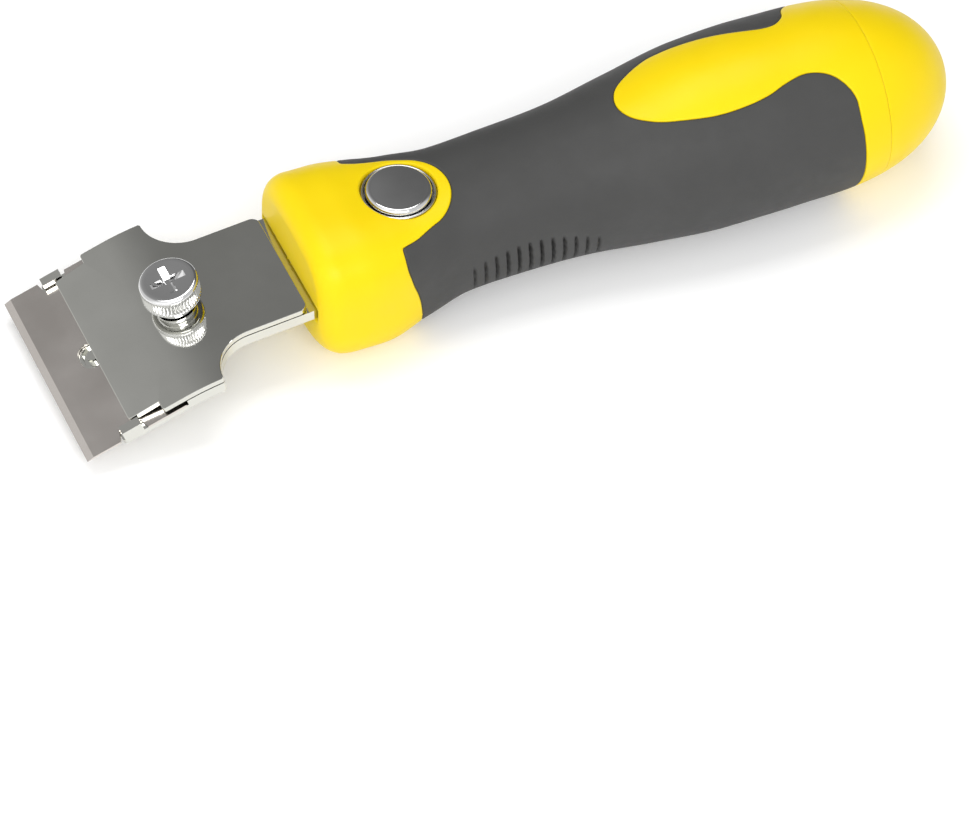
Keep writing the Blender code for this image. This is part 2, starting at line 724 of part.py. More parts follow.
def make_handle_core(floor):
    core = link("handle_core", handle_solid("handle_core", SECTION_X[0], CAP_SEAM, 0.0), PARTS,
                "yellow_plastic", 40)
    cut(core, make_grip_seat())
    cut(core, make_tang_room())
    well = link("button_well", rod("button_well", SLEEVE_R + 0.15, SLEEVE_LOW - 0.25, 40, 32), TOOLS)
    pocket = link("spring_pocket", rod("spring_pocket", POCKET_R, SPRING_LOW - 0.3, SLEEVE_LOW + 1), TOOLS)
    for cutter in (well, pocket):
        cutter.location.x = LOBE_X * MM
        cut(core, cutter)
    bay_outline = rounded_box_outline(BAY_HALF_WIDE, BAY_HALF_HIGH, BAY_Z, BAY_CORNER)
    bay = link("blade_bay", slab("blade_bay", [bay_outline], BAY_X0, CAP_SEAM + 2, axis="X"), TOOLS)
    cut(core, bay)
    cut(core, tail_bore("cap_bore", BORE_R, BORE_X0, CAP_SEAM + 2))
    cut(core, floor)
    return core


def on_button_axis(item):
    item.location.x = LOBE_X * MM
    return item


def make_release_button():
    chamfer = BUTTON_R - BUTTON_FACE_R
    shoulder = SLEEVE_TOP - 1.15
    profile = [(0, BUTTON_TOP), (BUTTON_FACE_R, BUTTON_TOP), (BUTTON_R, BUTTON_TOP - chamfer),
               (BUTTON_R, shoulder), (BUTTON_FLANGE_R, shoulder), (BUTTON_FLANGE_R, BUTTON_LOW),
               (STEM_R + 0.2, BUTTON_LOW), (STEM_R + 0.2, BUTTON_LOW + 2.6), (0, BUTTON_LOW + 2.6)]
    return on_button_axis(turned("release_button", profile, 32, PARTS, "chrome"))


def make_button_sleeve():
    lip = SLEEVE_TOP - 0.9
    outer = SLEEVE_R
    profile = [(SLEEVE_LIP_R, SLEEVE_TOP), (outer, SLEEVE_TOP), (outer, SLEEVE_LOW),
               (SLEEVE_BORE - 2.4, SLEEVE_LOW), (SLEEVE_BORE - 2.4, SLEEVE_LOW + 0.4),
               (SLEEVE_BORE, SLEEVE_LOW + 0.4), (SLEEVE_BORE, lip), (SLEEVE_LIP_R, lip),
               (SLEEVE_LIP_R, SLEEVE_TOP)]
    return on_button_axis(turned("button_sleeve", profile, 32, PARTS, "spring_steel"))


def make_lock_stem():
    profile = [(0, BUTTON_LOW + 2.3), (STEM_R, BUTTON_LOW + 2.3), (STEM_R, WAIST_HIGH),
               (STEM_WAIST_R, WAIST_HIGH), (STEM_WAIST_R, WAIST_LOW), (STEM_R, WAIST_LOW),
               (STEM_R, STEM_LOW + 0.4), (STEM_R - 0.4, STEM_LOW), (0, STEM_LOW)]
    return on_button_axis(turned("lock_stem", profile, 24, PARTS, "polished_steel"))


def make_button_spring():
    """Compression spring under the stem: a wire helix with closed ends."""
    curve = bpy.data.curves.new("button_spring", "CURVE")
    curve.dimensions = "3D"
    curve.bevel_depth = SPRING_WIRE_R * MM
    curve.bevel_resolution = 1
    curve.use_fill_caps = True
    per_turn = 12
    count = int(SPRING_TURNS * per_turn)
    spline = curve.splines.new("POLY")
    spline.points.add(count)
    rise = SPRING_HIGH - SPRING_LOW - 2 * SPRING_WIRE_R
    for i, point in enumerate(spline.points):
        angle = 2 * math.pi * i / per_turn
        height = SPRING_LOW + SPRING_WIRE_R + rise * i / count
        point.co = (SPRING_R * math.cos(angle) * MM, SPRING_R * math.sin(angle) * MM, height * MM, 1.0)
    item = bpy.data.objects.new("button_spring", curve)
    bpy.context.scene.collection.objects.link(item)
    mesh = baked_mesh(item)
    return on_button_axis(link("button_spring", mesh, PARTS, "spring_steel", 60))


def make_tail_cap():
    cap = link("tail_cap", handle_solid("tail_cap", CAP_SEAM + 0.15, TAIL_X, 0.0), PARTS,
               "yellow_plastic", 40)
    skirt = link("cap_skirt", slab("cap_skirt", [circle(0, BAY_Z, SKIRT_R, 40)], SKIRT_X0, CAP_SEAM + 1.5,
                                   axis="X"), TOOLS)
    cut(cap, skirt, "UNION")
    cut(cap, tail_bore("cap_hollow", SKIRT_INNER_R, SKIRT_X0 - 1, CAP_HOLLOW_END))
    half_wide, half_thick = TONGUE_HALF + 0.2, TONGUE_THICK / 2 + 0.2
    socket = link("tongue_socket", block("tongue_socket", (CAP_HOLLOW_END - 1, TONGUE_END + 0.3),
                                         (-half_wide, half_wide),
                                         (BAY_Z - half_thick, BAY_Z + half_thick)), TOOLS)
    cut(cap, socket)
    hole = link("cap_pin_hole", rod("cap_pin_hole", PIN_R + 0.15, -2, BAY_Z + 4.2, 16), TOOLS)
    hole.location.x = pin_x() * MM
    cut(cap, hole)
    return cap


def pin_x():
    return 0.5 * (CAP_HOLLOW_END + TONGUE_END) + 0.4


def make_blade_tray():
    """U-shaped tray with an end wall and a tongue that is pinned in the cap."""
    outer = rounded_box_outline(BAY_HALF_WIDE - 0.2, BAY_HALF_HIGH - 0.2, BAY_Z, BAY_CORNER - 0.1)
    tray = link("blade_tray", slab("blade_tray", [outer], TRAY_X0, TRAY_X1, axis="X"), PARTS,
                "tray_plastic")
    half = BAY_HALF_WIDE - 0.2 - TRAY_WALL
    low = BAY_Z - BAY_HALF_HIGH + 0.2 + TRAY_WALL
    room = link("tray_room", block("tray_room", (TRAY_X0 + TRAY_WALL, TRAY_X1 - TRAY_WALL), (-half, half),
                                   (low, BAY_Z + 20)), TOOLS)
    cut(tray, room)
    window = link("tray_window", block("tray_window", (TRAY_X0 + 8, TRAY_X1 - 12), (-half - 5, half + 5),
                                       (low + 4.5, BAY_Z + 20)), TOOLS)
    cut(tray, window)
    tongue = link("tray_tongue", block("tray_tongue", (TRAY_X1 - 0.4, TONGUE_END),
                                       (-TONGUE_HALF, TONGUE_HALF),
                                       (BAY_Z - TONGUE_THICK / 2, BAY_Z + TONGUE_THICK / 2)), TOOLS)
    cut(tray, tongue, "UNION")
    hole = link("tray_pin_hole", rod("tray_pin_hole", PIN_R + 0.15, 0, BAY_Z + 6, 16), TOOLS)
    hole.location.x = pin_x() * MM
    cut(tray, hole)
    return tray


def make_tray_pin():
    item = link("tray_pin", rod("tray_pin", PIN_R, 4.5, BAY_Z + 3.9, 16), PARTS, "spring_steel", 35)
    item.location.x = pin_x() * MM
    return item


# ---- spare blades ---------------------------------------------------------------------------------
def tray_middle():
    return 0.5 * (TRAY_X0 + TRAY_X1)


def spare_blade(name, slot, size, double, window, low):
    """A flat blade laid lengthways in the tray, its underside at height low."""
    length, width, thick, bevel = size
    outline = [(u - width / 2, y) for u, y in blade_outline(length, width, width * 0.62, 1.9, 2.2)]
    holes = [slot_outline(0.0, 3.0, 1.3)] if window else []
    mesh = slab(name, [outline] + holes, 0, thick)
    grind_edge(mesh, -width / 2, bevel, thick, thick - 0.1)
    if double:
        mesh.transform(Matrix.Scale(-1, 4, (1, 0, 0)))
        mesh.flip_normals()
        grind_edge(mesh, -width / 2, bevel, thick, thick - 0.1)
    blade = link(name, mesh, PARTS, slot)
    blade.rotation_euler = (0, 0, math.radians(90))
    blade.location = (tray_middle() * MM, 0, low * MM)
    return blade


def make_spare_blades():
    low = BAY_Z - BAY_HALF_HIGH + 0.2 + TRAY_WALL + STACK_GAP
    for i in range(PLASTIC_SPARES):
        spare_blade("plastic_blade_%d" % (i + 1), "blade_plastic", PLASTIC_SPARE, True, True, low)
        low += PLASTIC_SPARE[2] + STACK_GAP
    for i in range(STEEL_SPARES):
        spare_blade("steel_blade_%d" % (i + 1), "ground_steel", STEEL_SPARE, False, False, low)
        low += STEEL_SPARE[2] + STACK_GAP
    low += SPINE_WALL + 0.1
    spare_blade("spare_razor", "ground_steel", RAZOR_SPARE, False, True, low)
    make_razor_spine(low)


def make_razor_spine(low):
    """Folded steel spine along the back of the spare razor blade."""
    back = RAZOR_SPARE[1] / 2 + 0.35
    front = back - SPINE_DEEP
    inner_low, inner_high = low - 0.06, low + RAZOR_SPARE[2] + 0.06
    outline = [(back, inner_low - SPINE_WALL), (back, inner_high + SPINE_WALL),
               (front, inner_high + SPINE_WALL), (front, inner_high), (back - 0.25, inner_high),
               (back - 0.25, inner_low), (front, inner_low), (front, inner_low - SPINE_WALL)]
    mesh = slab("razor_spine", [outline], tray_middle() - SPINE_LENGTH / 2,
                tray_middle() + SPINE_LENGTH / 2, axis="X")
    return link("razor_spine", mesh, PARTS, "ground_steel")


# ---- assembly -------------------------------------------------------------------------------------
clear_scene()
PARTS = new_collection(COLLECTION)
TOOLS = new_collection(CUTTERS)
MATERIALS = {slot: new_material(slot) for slot in COLOURS}


def main():
    floor = link("floor_flat", block("floor_flat", (-120, 120), (-40, 40), (-10, 0)), TOOLS)
    make_scraper_blade()
    make_blade_carrier()
    make_locating_pin()
    make_clamp_plate()
    make_thumb_screw()
    make_screw_retainer()
    make_clinch_nut()
    make_handle_core(floor)
    make_soft_grip(floor)
    make_release_button()
    make_button_sleeve()
    make_lock_stem()
    make_button_spring()
    make_tail_cap()
    make_blade_tray()
    make_tray_pin()
    make_spare_blades()
    for group in (PARTS, TOOLS):
        for item in group.objects:
            item.location.x += FRAME_SHIFT * MM


main()
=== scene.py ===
"""Looks of the razor scraper: a two-shot handle, a bent polished head, a knurled screw and a chrome button.

Lengths in this script are in millimetres, in the frame of the CAD part, until a mesh is written.
"""

import json
import math

import bmesh
import bpy
import numpy as np
from mathutils import Matrix, Vector
from mathutils.kdtree import KDTree


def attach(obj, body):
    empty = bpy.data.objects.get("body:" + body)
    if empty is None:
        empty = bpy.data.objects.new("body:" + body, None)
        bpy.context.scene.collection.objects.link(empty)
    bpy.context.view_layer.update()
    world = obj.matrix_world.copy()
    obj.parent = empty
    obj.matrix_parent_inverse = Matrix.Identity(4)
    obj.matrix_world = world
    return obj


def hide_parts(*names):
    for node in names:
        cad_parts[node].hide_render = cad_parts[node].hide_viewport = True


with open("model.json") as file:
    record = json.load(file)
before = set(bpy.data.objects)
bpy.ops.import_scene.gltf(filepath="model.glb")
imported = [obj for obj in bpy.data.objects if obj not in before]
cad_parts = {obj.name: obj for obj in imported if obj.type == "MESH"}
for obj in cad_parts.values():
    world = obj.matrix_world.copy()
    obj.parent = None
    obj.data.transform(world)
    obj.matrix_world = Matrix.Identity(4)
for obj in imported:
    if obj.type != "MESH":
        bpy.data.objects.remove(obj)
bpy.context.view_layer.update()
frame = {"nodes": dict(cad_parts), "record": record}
MM = 0.001

# ---- head: the bent path of both plates, u along it and h above its upper face ----------------------
BEND_X = -60.4
BEND_Z = 13.4
NECK_SLOPE = math.radians(5.9)
FRONT_SLOPE = math.radians(19.4)
BEND_FRONT = -6.2
BEND_REAR = 3.8
BEND_STEPS = 40
CLAMP_FRONT = -16.1
CLAMP_STEP = -10.3
SHOULDER_U = 0.9
NECK_REAR = 19.7
CLAMP_HALF_FRONT = 17.1
HEAD_HALF = 19.25
NECK_HALF = 11.6
CLAMP_THICK = 1.0
LIP_DROP = 0.5
CARRIER_TOP = -1.15
CARRIER_BOTTOM = -3.15
SEAT_DEPTH = 1.0
SEAT_REAR = -6.1
CARRIER_FRONT = -18.6
LUG_REAR = -14.6
RELIEF_U = -16.4          # pocket round the pin under the blade's slot
RELIEF_R = 1.75
RELIEF_HALF = 2.5
RELIEF_DEPTH = 0.7
LOCATING_PIN_R = 1.1
LUG_HALF_IN = 17.5
LUG_TOP = -0.35
TANG_HALF = 8.0
TANG_NECK_END = 24.4
TANG_END = 51.5
KEYHOLE_R = 3.0
KEY_SLOT_HALF = 1.75
SCREW_HOLE_R = 2.5
PLATE_EDGE = 0.14         # radius worn on the plates' edges
FRONT_CORNER = 0.6
STEP_CORNER = 0.5
SHOULDER_CORNER = 0.3     # cut corner between a plate's side and its shoulder
REAR_CORNER = 1.6
TANG_CORNER = 2.0
KEYHOLE_BACK = 1.2        # the keyhole's middle in front of the button's axis, along the sheet
LUG_INSET = 0.4           # from the carrier's front edge to the lugs

# ---- screw ------------------------------------------------------------------------------------------
KNOB_R = 5.1
KNOB_HIGH = 4.3
KNOB_RIM = 0.7
COLLAR_R = 3.7
COLLAR_HIGH = 2.0
COLLAR_LOW = 0.35
SHANK_R = 2.0
SHANK_BELOW = 10.6
KNURLS = 54
KNURL_DEPTH = 0.22
RECESS_DEPTH = 1.5

# ---- handle: x, half width, half height, centre height, squareness of each section -------------------
HANDLE_SECTIONS = (
    (-38.3, 15.4, 13.15, 12.9, 3.1),
    (-30.4, 15.4, 13.15, 12.9, 3.1),
    (-24.1, 14.5, 12.75, 12.5, 3.4),
    (-17.4, 12.9, 11.6, 13.1, 3.4),
    (-9.4, 11.75, 11.05, 13.9, 2.9),
    (0.6, 12.15, 11.7, 14.55, 2.5),
    (12.1, 13.05, 12.75, 15.0, 2.2),
    (24.6, 14.95, 14.65, 15.6, 2.1),
    (37.6, 16.7, 16.6, 16.4, 2.0),
    (47.6, 16.9, 16.91, 16.75, 2.0),
    (53.6, 16.8, 16.8, 16.75, 2.0),
)
NOSE_X = -38.3
NOSE_SIDE = (4.4, 3.6)    # length and depth of the round at the nose's sides, top and bottom
NOSE_TOP = (4.2, 3.5)
NOSE_BOTTOM = (6.9, 7.6)
DOME_START = 53.6
TAIL_X = 83.7
FRAME_SHIFT = -0.505      # brings the middle of the whole tool over the origin
DOME_POWER = 2.7
GRIP_THICK = 1.8
RECESS = 2.1              # depth of the room for the grip in the hard core
CAP_SEAM = 66.9
SEAM_GAP = 0.04
# edges of the soft grip as x at height z: front on the near and the far side, rear
GRIP_FRONT = ((-18.0, -4.0), (-19.6, 10.0), (-21.4, 16.5), (-22.4, 22.4), (-22.4, 40.0))
GRIP_FRONT_FAR = ((-18.0, -4.0), (-19.8, 10.0), (-22.4, 16.5), (-24.8, 23.6), (-24.8, 40.0))
GRIP_REAR = ((62.3, -4.0), (62.2, 9.3), (61.9, 16.9), (61.6, 22.2), (61.35, 26.0), (61.3, 40.0))
PAST_NOSE = -60.0         # where the plans of the yellow fields are closed, off the handle
PAST_TAIL = 90.0
LOBE_X = -18.4            # the button's axis
# plan of the yellow field about the button: its round end, then its sides towards the nose
FIELD_CENTRE = (-18.2, -0.9)
FIELD_R = 8.4
FIELD_NEAR = ((-16.0, -9.0), (-19.2, -10.4), (-22.5, -11.4))
FIELD_ARC = (-62, 58)     # degrees over which the end is round
FIELD_FAR = ((-13.7, 6.2), (-17.4, 7.9), (-20.0, 8.5), (-22.6, 9.0), (-24.8, 9.9))
# plan of the yellow thumb pad on each side, from its tip to the collar
PAD_TIP = (21.6, -0.4)
PAD_NEAR = ((22.7, -3.3), (25.3, -5.5), (28.8, -7.2), (35.3, -9.1), (41.0, -9.5), (46.0, -9.1),
            (50.0, -8.0), (53.8, -7.4), (57.5, -8.4), (60.1, -10.6), (61.5, -13.4), (62.4, -20.0))
PAD_FAR = ((22.3, 2.5), (24.4, 4.8), (28.9, 7.4), (32.8, 8.2), (40.6, 7.4), (47.8, 5.1), (51.0, 4.3),
           (53.5, 4.6), (55.6, 6.5), (57.0, 9.5), (59.8, 12.6), (62.4, 15.0), (63.4, 20.0))
GRIP_ROUND = 0.4
CORE_ROUND = 0.3
SEAM_ROUND = 0.1
SEAM_STEPS = (0.0, 0.01, 0.03, 0.06, SEAM_ROUND, 0.6)    # stations beside the seam, from its edge
NOSE_FINE = 7.5           # length of the nose that is finely divided
NOSE_STEPS = 22
DOME_STEPS = 34
DOME_LAST = 89.2          # degrees round the dome at its last ring
RING_POINTS = 200
RING_STEP = 0.55
FACE_RINGS = (0.05, 0.2, 0.35, 0.5, 0.62, 0.74, 0.84, 0.92, 0.97)    # rings of the nose's flat face
MOUTH_ROUND = 0.7
MOUTH_REACH = 8.0         # how far past the neck's end the mouth may be
MOUTH_GAP_WIDE = 0.3
MOUTH_GAP_HIGH = 0.25
FAR_AWAY = 9.0            # stands for a distance that no round reaches
WELL_R = 6.65
WELL_ROUND = 0.4
RIBS = 12
RIB_X0 = -9.5
RIB_PITCH = 2.05
RIB_HALF = 0.42
RIB_DEPTH = 1.05
RIB_LEAN = 0.1            # how far a groove runs back for each millimetre down
RIB_LOW = 6.4
RIB_TOP_ENDS = 13.2       # height of the end grooves' tops and of the middle ones'
RIB_TOP_MIDDLE = 16.0
RIB_FADE = 1.8

# ---- button, blade store ----------------------------------------------------------------------------
BUTTON_TOP = 25.2
BUTTON_FACE_R = 4.9
BUTTON_R = 5.75
BUTTON_FLANGE_R = 6.1
BUTTON_LOW = 20.4
SLEEVE_TOP = 24.35
SLEEVE_LOW = 17.9
SLEEVE_R = 6.5
SLEEVE_BORE = 6.3
SLEEVE_LIP_R = 5.95
SLEEVE_LIP = 0.9
SLEEVE_FLOOR_R = 3.9
SLEEVE_THICK = 0.4
STEM_R = 2.5
POCKET_R = 3.6
SPRING_POCKET_LOW = 4.4
FIT_GAP = 0.3             # air between pieces that fit one in the other
BAY_X0 = 24.2
BAY_HALF_WIDE = 10.7
BAY_HALF_HIGH = 5.4
BAY_CORNER = 2.0
BAY_Z = 16.3
BORE_X0 = 62.6
BORE_R = 13.4
SKIRT_R = 13.1
SKIRT_INNER_R = 12.0
SKIRT_X0 = 63.4
CAP_HOLLOW_END = 68.4
TONGUE_END = 73.0
TONGUE_HALF = 4.0
TONGUE_THICK = 2.6
TONGUE_GAP = 0.2
PIN_R = 1.0
PIN_GAP = 0.15
PIN_RISE = 4.2            # the pin's hole above the store's middle
PIN_AT = 0.4              # the pin behind the tongue's middle

# ---- camera and light --------------------------------------------------------------------------------
CAMERA_AIM = (-22.455, -47.13, 16.7)
CAMERA_DISTANCE = 1095.8
CAMERA_AZIMUTH = -24.81
CAMERA_ELEVATION = 47.64
CAMERA_ROLL = 1.68
CAMERA_LENS = 243.97


# ---- outlines ----------------------------------------------------------------------------------------
def arc(cx, cy, radius, start, end, steps):
    """Points of an arc from start to end, angles in degrees, counter-clockwise when end > start."""
    angles = [math.radians(start + (end - start) * i / steps) for i in range(steps + 1)]
    return [(cx + radius * math.cos(a), cy + radius * math.sin(a)) for a in angles]


def circle(cx, cy, radius, steps=64):
    return arc(cx, cy, radius, 0, 360, steps)[:-1]


def mirrored(half):
    """A closed outline from its half at y >= 0."""
    return list(half) + [(x, -y) for x, y in reversed(half) if y > 1e-9]


def smooth_line(points, steps=8):
    """Catmull-Rom curve through the points."""
    ends = [points[0]] + list(points) + [points[-1]]
    line = []
    for a, b, c, d in zip(ends, ends[1:], ends[2:], ends[3:]):
        for i in range(steps):
            t = i / steps
            line.append(tuple(
                0.5 * (2 * q + (r - p) * t + (2 * p - 5 * q + 4 * r - s) * t * t
                       + (3 * q - p - 3 * r + s) * t ** 3)
                for p, q, r, s in zip(a, b, c, d)))
    line.append(points[-1])
    return line


# ---- meshes and objects ------------------------------------------------------------------------------
def mesh_of(name, points, faces):
    """Mesh of points in millimetres, with its faces turned outward."""
    mesh = bpy.data.meshes.new(name)
    mesh.from_pydata([tuple(float(c) * MM for c in point) for point in points], [], faces)
    bm = bmesh.new()
    bm.from_mesh(mesh)
    bmesh.ops.recalc_face_normals(bm, faces=bm.faces)
    bm.to_mesh(mesh)
    bm.free()
    return mesh


def add_object(name, mesh):
    item = bpy.data.objects.new(name, mesh)
    bpy.context.scene.collection.objects.link(item)
    return item


def baked(item):
    """The mesh an object evaluates to, in world space; the object is removed."""
    bpy.context.view_layer.update()
    evaluated = item.evaluated_get(bpy.context.evaluated_depsgraph_get())
    mesh = bpy.data.meshes.new_from_object(evaluated)
    mesh.transform(item.matrix_world)
    bpy.data.objects.remove(item, do_unlink=True)
    return mesh


def combine(mesh, cutters, operation="DIFFERENCE"):
    """Mesh after each cutter mesh has been cut from it or joined to it."""
    item = add_object("work", mesh)
    tools = []
    for cutter in cutters:
        tool = add_object("tool", cutter)
        tool.hide_render = True
        modifier = item.modifiers.new("cut", "BOOLEAN")
        modifier.operation = operation
        modifier.solver = "EXACT"
        modifier.object = tool
        tools.append(tool)
    result = baked(item)
    for tool in tools:
        bpy.data.objects.remove(tool, do_unlink=True)
    return result


def slab(outlines, low, high, axis="Z"):
    """Mesh of a flat outline and its holes between two heights, or along X with (y, z) outlines."""
    curve = bpy.data.curves.new("slab", "CURVE")
    curve.dimensions = "2D"
    curve.fill_mode = "BOTH"
    curve.extrude = 0.5 * (high - low) * MM
    for outline in outlines:
        spline = curve.splines.new("POLY")
        spline.points.add(len(outline) - 1)
        for point, (a, b) in zip(spline.points, outline):
            point.co = (a * MM, b * MM, 0.0, 1.0)
        spline.use_cyclic_u = True
    item = add_object("slab", curve)
    middle = 0.5 * (high + low) * MM
    if axis == "Z":
        item.matrix_world = Matrix.Translation((0, 0, middle))
    else:
        turn = Matrix(((0, 0, 1), (1, 0, 0), (0, 1, 0))).to_4x4()
        item.matrix_world = Matrix.Translation((middle, 0, 0)) @ turn
    mesh = baked(item)
    bm = bmesh.new()
    bm.from_mesh(mesh)
    bmesh.ops.remove_doubles(bm, verts=bm.verts, dist=1e-7)
    bmesh.ops.recalc_face_normals(bm, faces=bm.faces)
    bm.to_mesh(mesh)
    bm.free()
    return mesh


def block(x, y, z):
    corners = [(a, b, c) for a in x for b in y for c in z]
    faces = [(0, 1, 3, 2), (4, 6, 7, 5), (0, 4, 5, 1), (2, 3, 7, 6), (0, 2, 6, 4), (1, 5, 7, 3)]
    return mesh_of("block", corners, faces)


def soften(mesh, width, segments=2, crease=30):
    """Round every crisp edge of a mesh."""
    bm = bmesh.new()
    bm.from_mesh(mesh)
    bmesh.ops.remove_doubles(bm, verts=bm.verts, dist=1e-6)
    bmesh.ops.dissolve_limit(bm, angle_limit=math.radians(0.5), verts=bm.verts, edges=bm.edges)
    limit = math.radians(crease)
    edges = [e for e in bm.edges if len(e.link_faces) == 2 and e.calc_face_angle(0.0) > limit]
    bmesh.ops.bevel(bm, geom=edges, offset=width * MM, segments=segments, affect="EDGES", profile=0.5,
                    clamp_overlap=True)
    bm.to_mesh(mesh)
    bm.free()
    return mesh


def slice_at(mesh, values):
    """Add an edge loop across a mesh at each x."""
    bm = bmesh.new()
    bm.from_mesh(mesh)
    normal = Vector((1, 0, 0))
    for value in values:
        geometry = list(bm.verts) + list(bm.edges) + list(bm.faces)
        bmesh.ops.bisect_plane(bm, geom=geometry, dist=1e-8, plane_co=normal * value * MM, plane_no=normal)
    bmesh.ops.triangulate(bm, faces=[f for f in bm.faces if len(f.verts) > 4])
    bm.to_mesh(mesh)
    bm.free()


def shade(item, crease=30):
    item.data.shade_smooth()
    item.data.set_sharp_from_angle(angle=math.radians(crease))


def place(name, mesh, body, slot, nodes, crease=30):
    """Make a finished piece: its look, its body and the CAD nodes it stands for."""
    mesh.transform(Matrix.Translation((FRAME_SHIFT * MM, 0, 0)))
    item = add_object(name, mesh)
    item.data.materials.clear()
    item.data.materials.append(MATERIALS[slot])
    shade(item, crease)
    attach(item, body)
    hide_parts(*nodes)
    return item


def revolved(profile, steps, radius_at=None):
    """Closed mesh of a (radius, z) profile about Z; radius_at may vary a row's radius round the axis."""
    points, faces = [(0, 0, profile[0][1])], []
    rows = profile[1:-1]
    for row, (radius, z) in enumerate(rows):
        for i in range(steps):
            angle = 2 * math.pi * i / steps
            reach = radius_at(row, radius, angle) if radius_at else radius
            points.append((reach * math.cos(angle), reach * math.sin(angle), z))
    points.append((0, 0, profile[-1][1]))
    last = len(points) - 1
    for i in range(steps):
        j = (i + 1) % steps
        faces.append((0, 1 + i, 1 + j))
        for row in range(len(rows) - 1):
            a, b = 1 + row * steps, 1 + (row + 1) * steps
            faces.append((a + i, b + i, b + j, a + j))
        base = 1 + (len(rows) - 1) * steps
        faces.append((base + i, last, base + j))
    return mesh_of("revolved", points, faces)


# ---- the bent sheet ------------------------------------------------------------------------------------
BEND_ANGLE = FRONT_SLOPE - NECK_SLOPE
BEND_RADIUS = (BEND_REAR - BEND_FRONT) / BEND_ANGLE
BEND_TANGENT = BEND_RADIUS * math.tan(BEND_ANGLE / 2)


def path_frame(u):
    """Point of the sheet's upper face at u, and the slope there."""
    rear_x = BEND_X + BEND_TANGENT * math.cos(NECK_SLOPE)
    rear_z = BEND_Z + BEND_TANGENT * math.sin(NECK_SLOPE)
    if u >= BEND_REAR:
        run = u - BEND_REAR
        return rear_x + run * math.cos(NECK_SLOPE), rear_z + run * math.sin(NECK_SLOPE), NECK_SLOPE
    inside = min(BEND_REAR - u, BEND_REAR - BEND_FRONT)
    slope = NECK_SLOPE + inside / BEND_RADIUS
    x = rear_x - BEND_RADIUS * (math.sin(slope) - math.sin(NECK_SLOPE))
    z = rear_z - BEND_RADIUS * (math.cos(NECK_SLOPE) - math.cos(slope))
    beyond = max(BEND_FRONT - u, 0.0)
    return x - beyond * math.cos(slope), z - beyond * math.sin(slope), slope


def bend_sheet(mesh):
    """Carry a mesh from flat (u, y, h) onto the bent path."""
    slice_at(mesh, [BEND_FRONT + (BEND_REAR - BEND_FRONT) * i / BEND_STEPS for i in range(BEND_STEPS + 1)])
    for vertex in mesh.vertices:
        u, h = vertex.co.x / MM, vertex.co.z / MM
        x, z, slope = path_frame(u)
        vertex.co.x = (x - h * math.sin(slope)) * MM
        vertex.co.z = (z + h * math.cos(slope)) * MM
    mesh.update()
    return mesh


def sheet_matrix(u):
    x, z, slope = path_frame(u)
    return Matrix.Translation((x * MM, 0, z * MM)) @ Matrix.Rotation(-slope, 4, "Y")


# ---- handle form ---------------------------------------------------------------------------------------
def monotone_slopes(xs, ys):
    """Slopes of a shape-keeping cubic through the points."""
    steps = [(y1 - y0) / (x1 - x0) for x0, x1, y0, y1 in zip(xs, xs[1:], ys, ys[1:])]
    slopes = [steps[0]]
    for a, b in zip(steps, steps[1:]):
        slopes.append(0.0 if a * b <= 0 else 2 * a * b / (a + b))
    slopes.append(steps[-1])
    return slopes


SECTION_X = [section[0] for section in HANDLE_SECTIONS]
SECTION_VALUES = [[section[k] for section in HANDLE_SECTIONS] for k in range(1, 5)]
SECTION_SLOPES = [monotone_slopes(SECTION_X, values) for values in SECTION_VALUES]


def nose_inset(x, size):
    """How far the nose's round draws one side in at x."""
    length, depth = size
    t = max(0.0, min((NOSE_X + length - x) / length, 1.0))
    return depth * (1 - math.sqrt(1 - t * t))


def section_at(x):
    """Half width, half height, centre height and squareness of the handle at x."""
    if x >= DOME_START:
        reach = min((x - DOME_START) / (TAIL_X - DOME_START), 1.0)
        shrink = math.sqrt(max(1 - reach ** DOME_POWER, 0.0))
        wide, high, centre, square = (values[-1] for values in SECTION_VALUES)
        return wide * shrink, high * shrink, centre - 0.4 * reach, square
    i = max(k for k, start in enumerate(SECTION_X[:-1]) if start <= x)
    span = SECTION_X[i + 1] - SECTION_X[i]
    t = (x - SECTION_X[i]) / span
    result = []
    for values, slopes in zip(SECTION_VALUES, SECTION_SLOPES):
        a, b = values[i], values[i + 1]
        m, n = slopes[i] * span, slopes[i + 1] * span
        result.append((2 * t ** 3 - 3 * t * t + 1) * a + (t ** 3 - 2 * t * t + t) * m
                      + (3 * t * t - 2 * t ** 3) * b + (t ** 3 - t * t) * n)
    wide, high, centre, square = result
    top, bottom = nose_inset(x, NOSE_TOP), nose_inset(x, NOSE_BOTTOM)
    wide -= nose_inset(x, NOSE_SIDE)
    return wide, high - 0.5 * (top + bottom), centre + 0.5 * (bottom - top), square


def ring(x, count):
    wide, high, centre, square = section_at(x)
    angle = np.linspace(0, 2 * np.pi, count, endpoint=False)
    c, s = np.cos(angle), np.sin(angle)
    reach = (np.abs(c / wide) ** square + np.abs(s / high) ** square) ** (-1 / square)
    return np.stack([np.full(count, x), reach * c, np.maximum(centre + reach * s, 0.0)], axis=1)


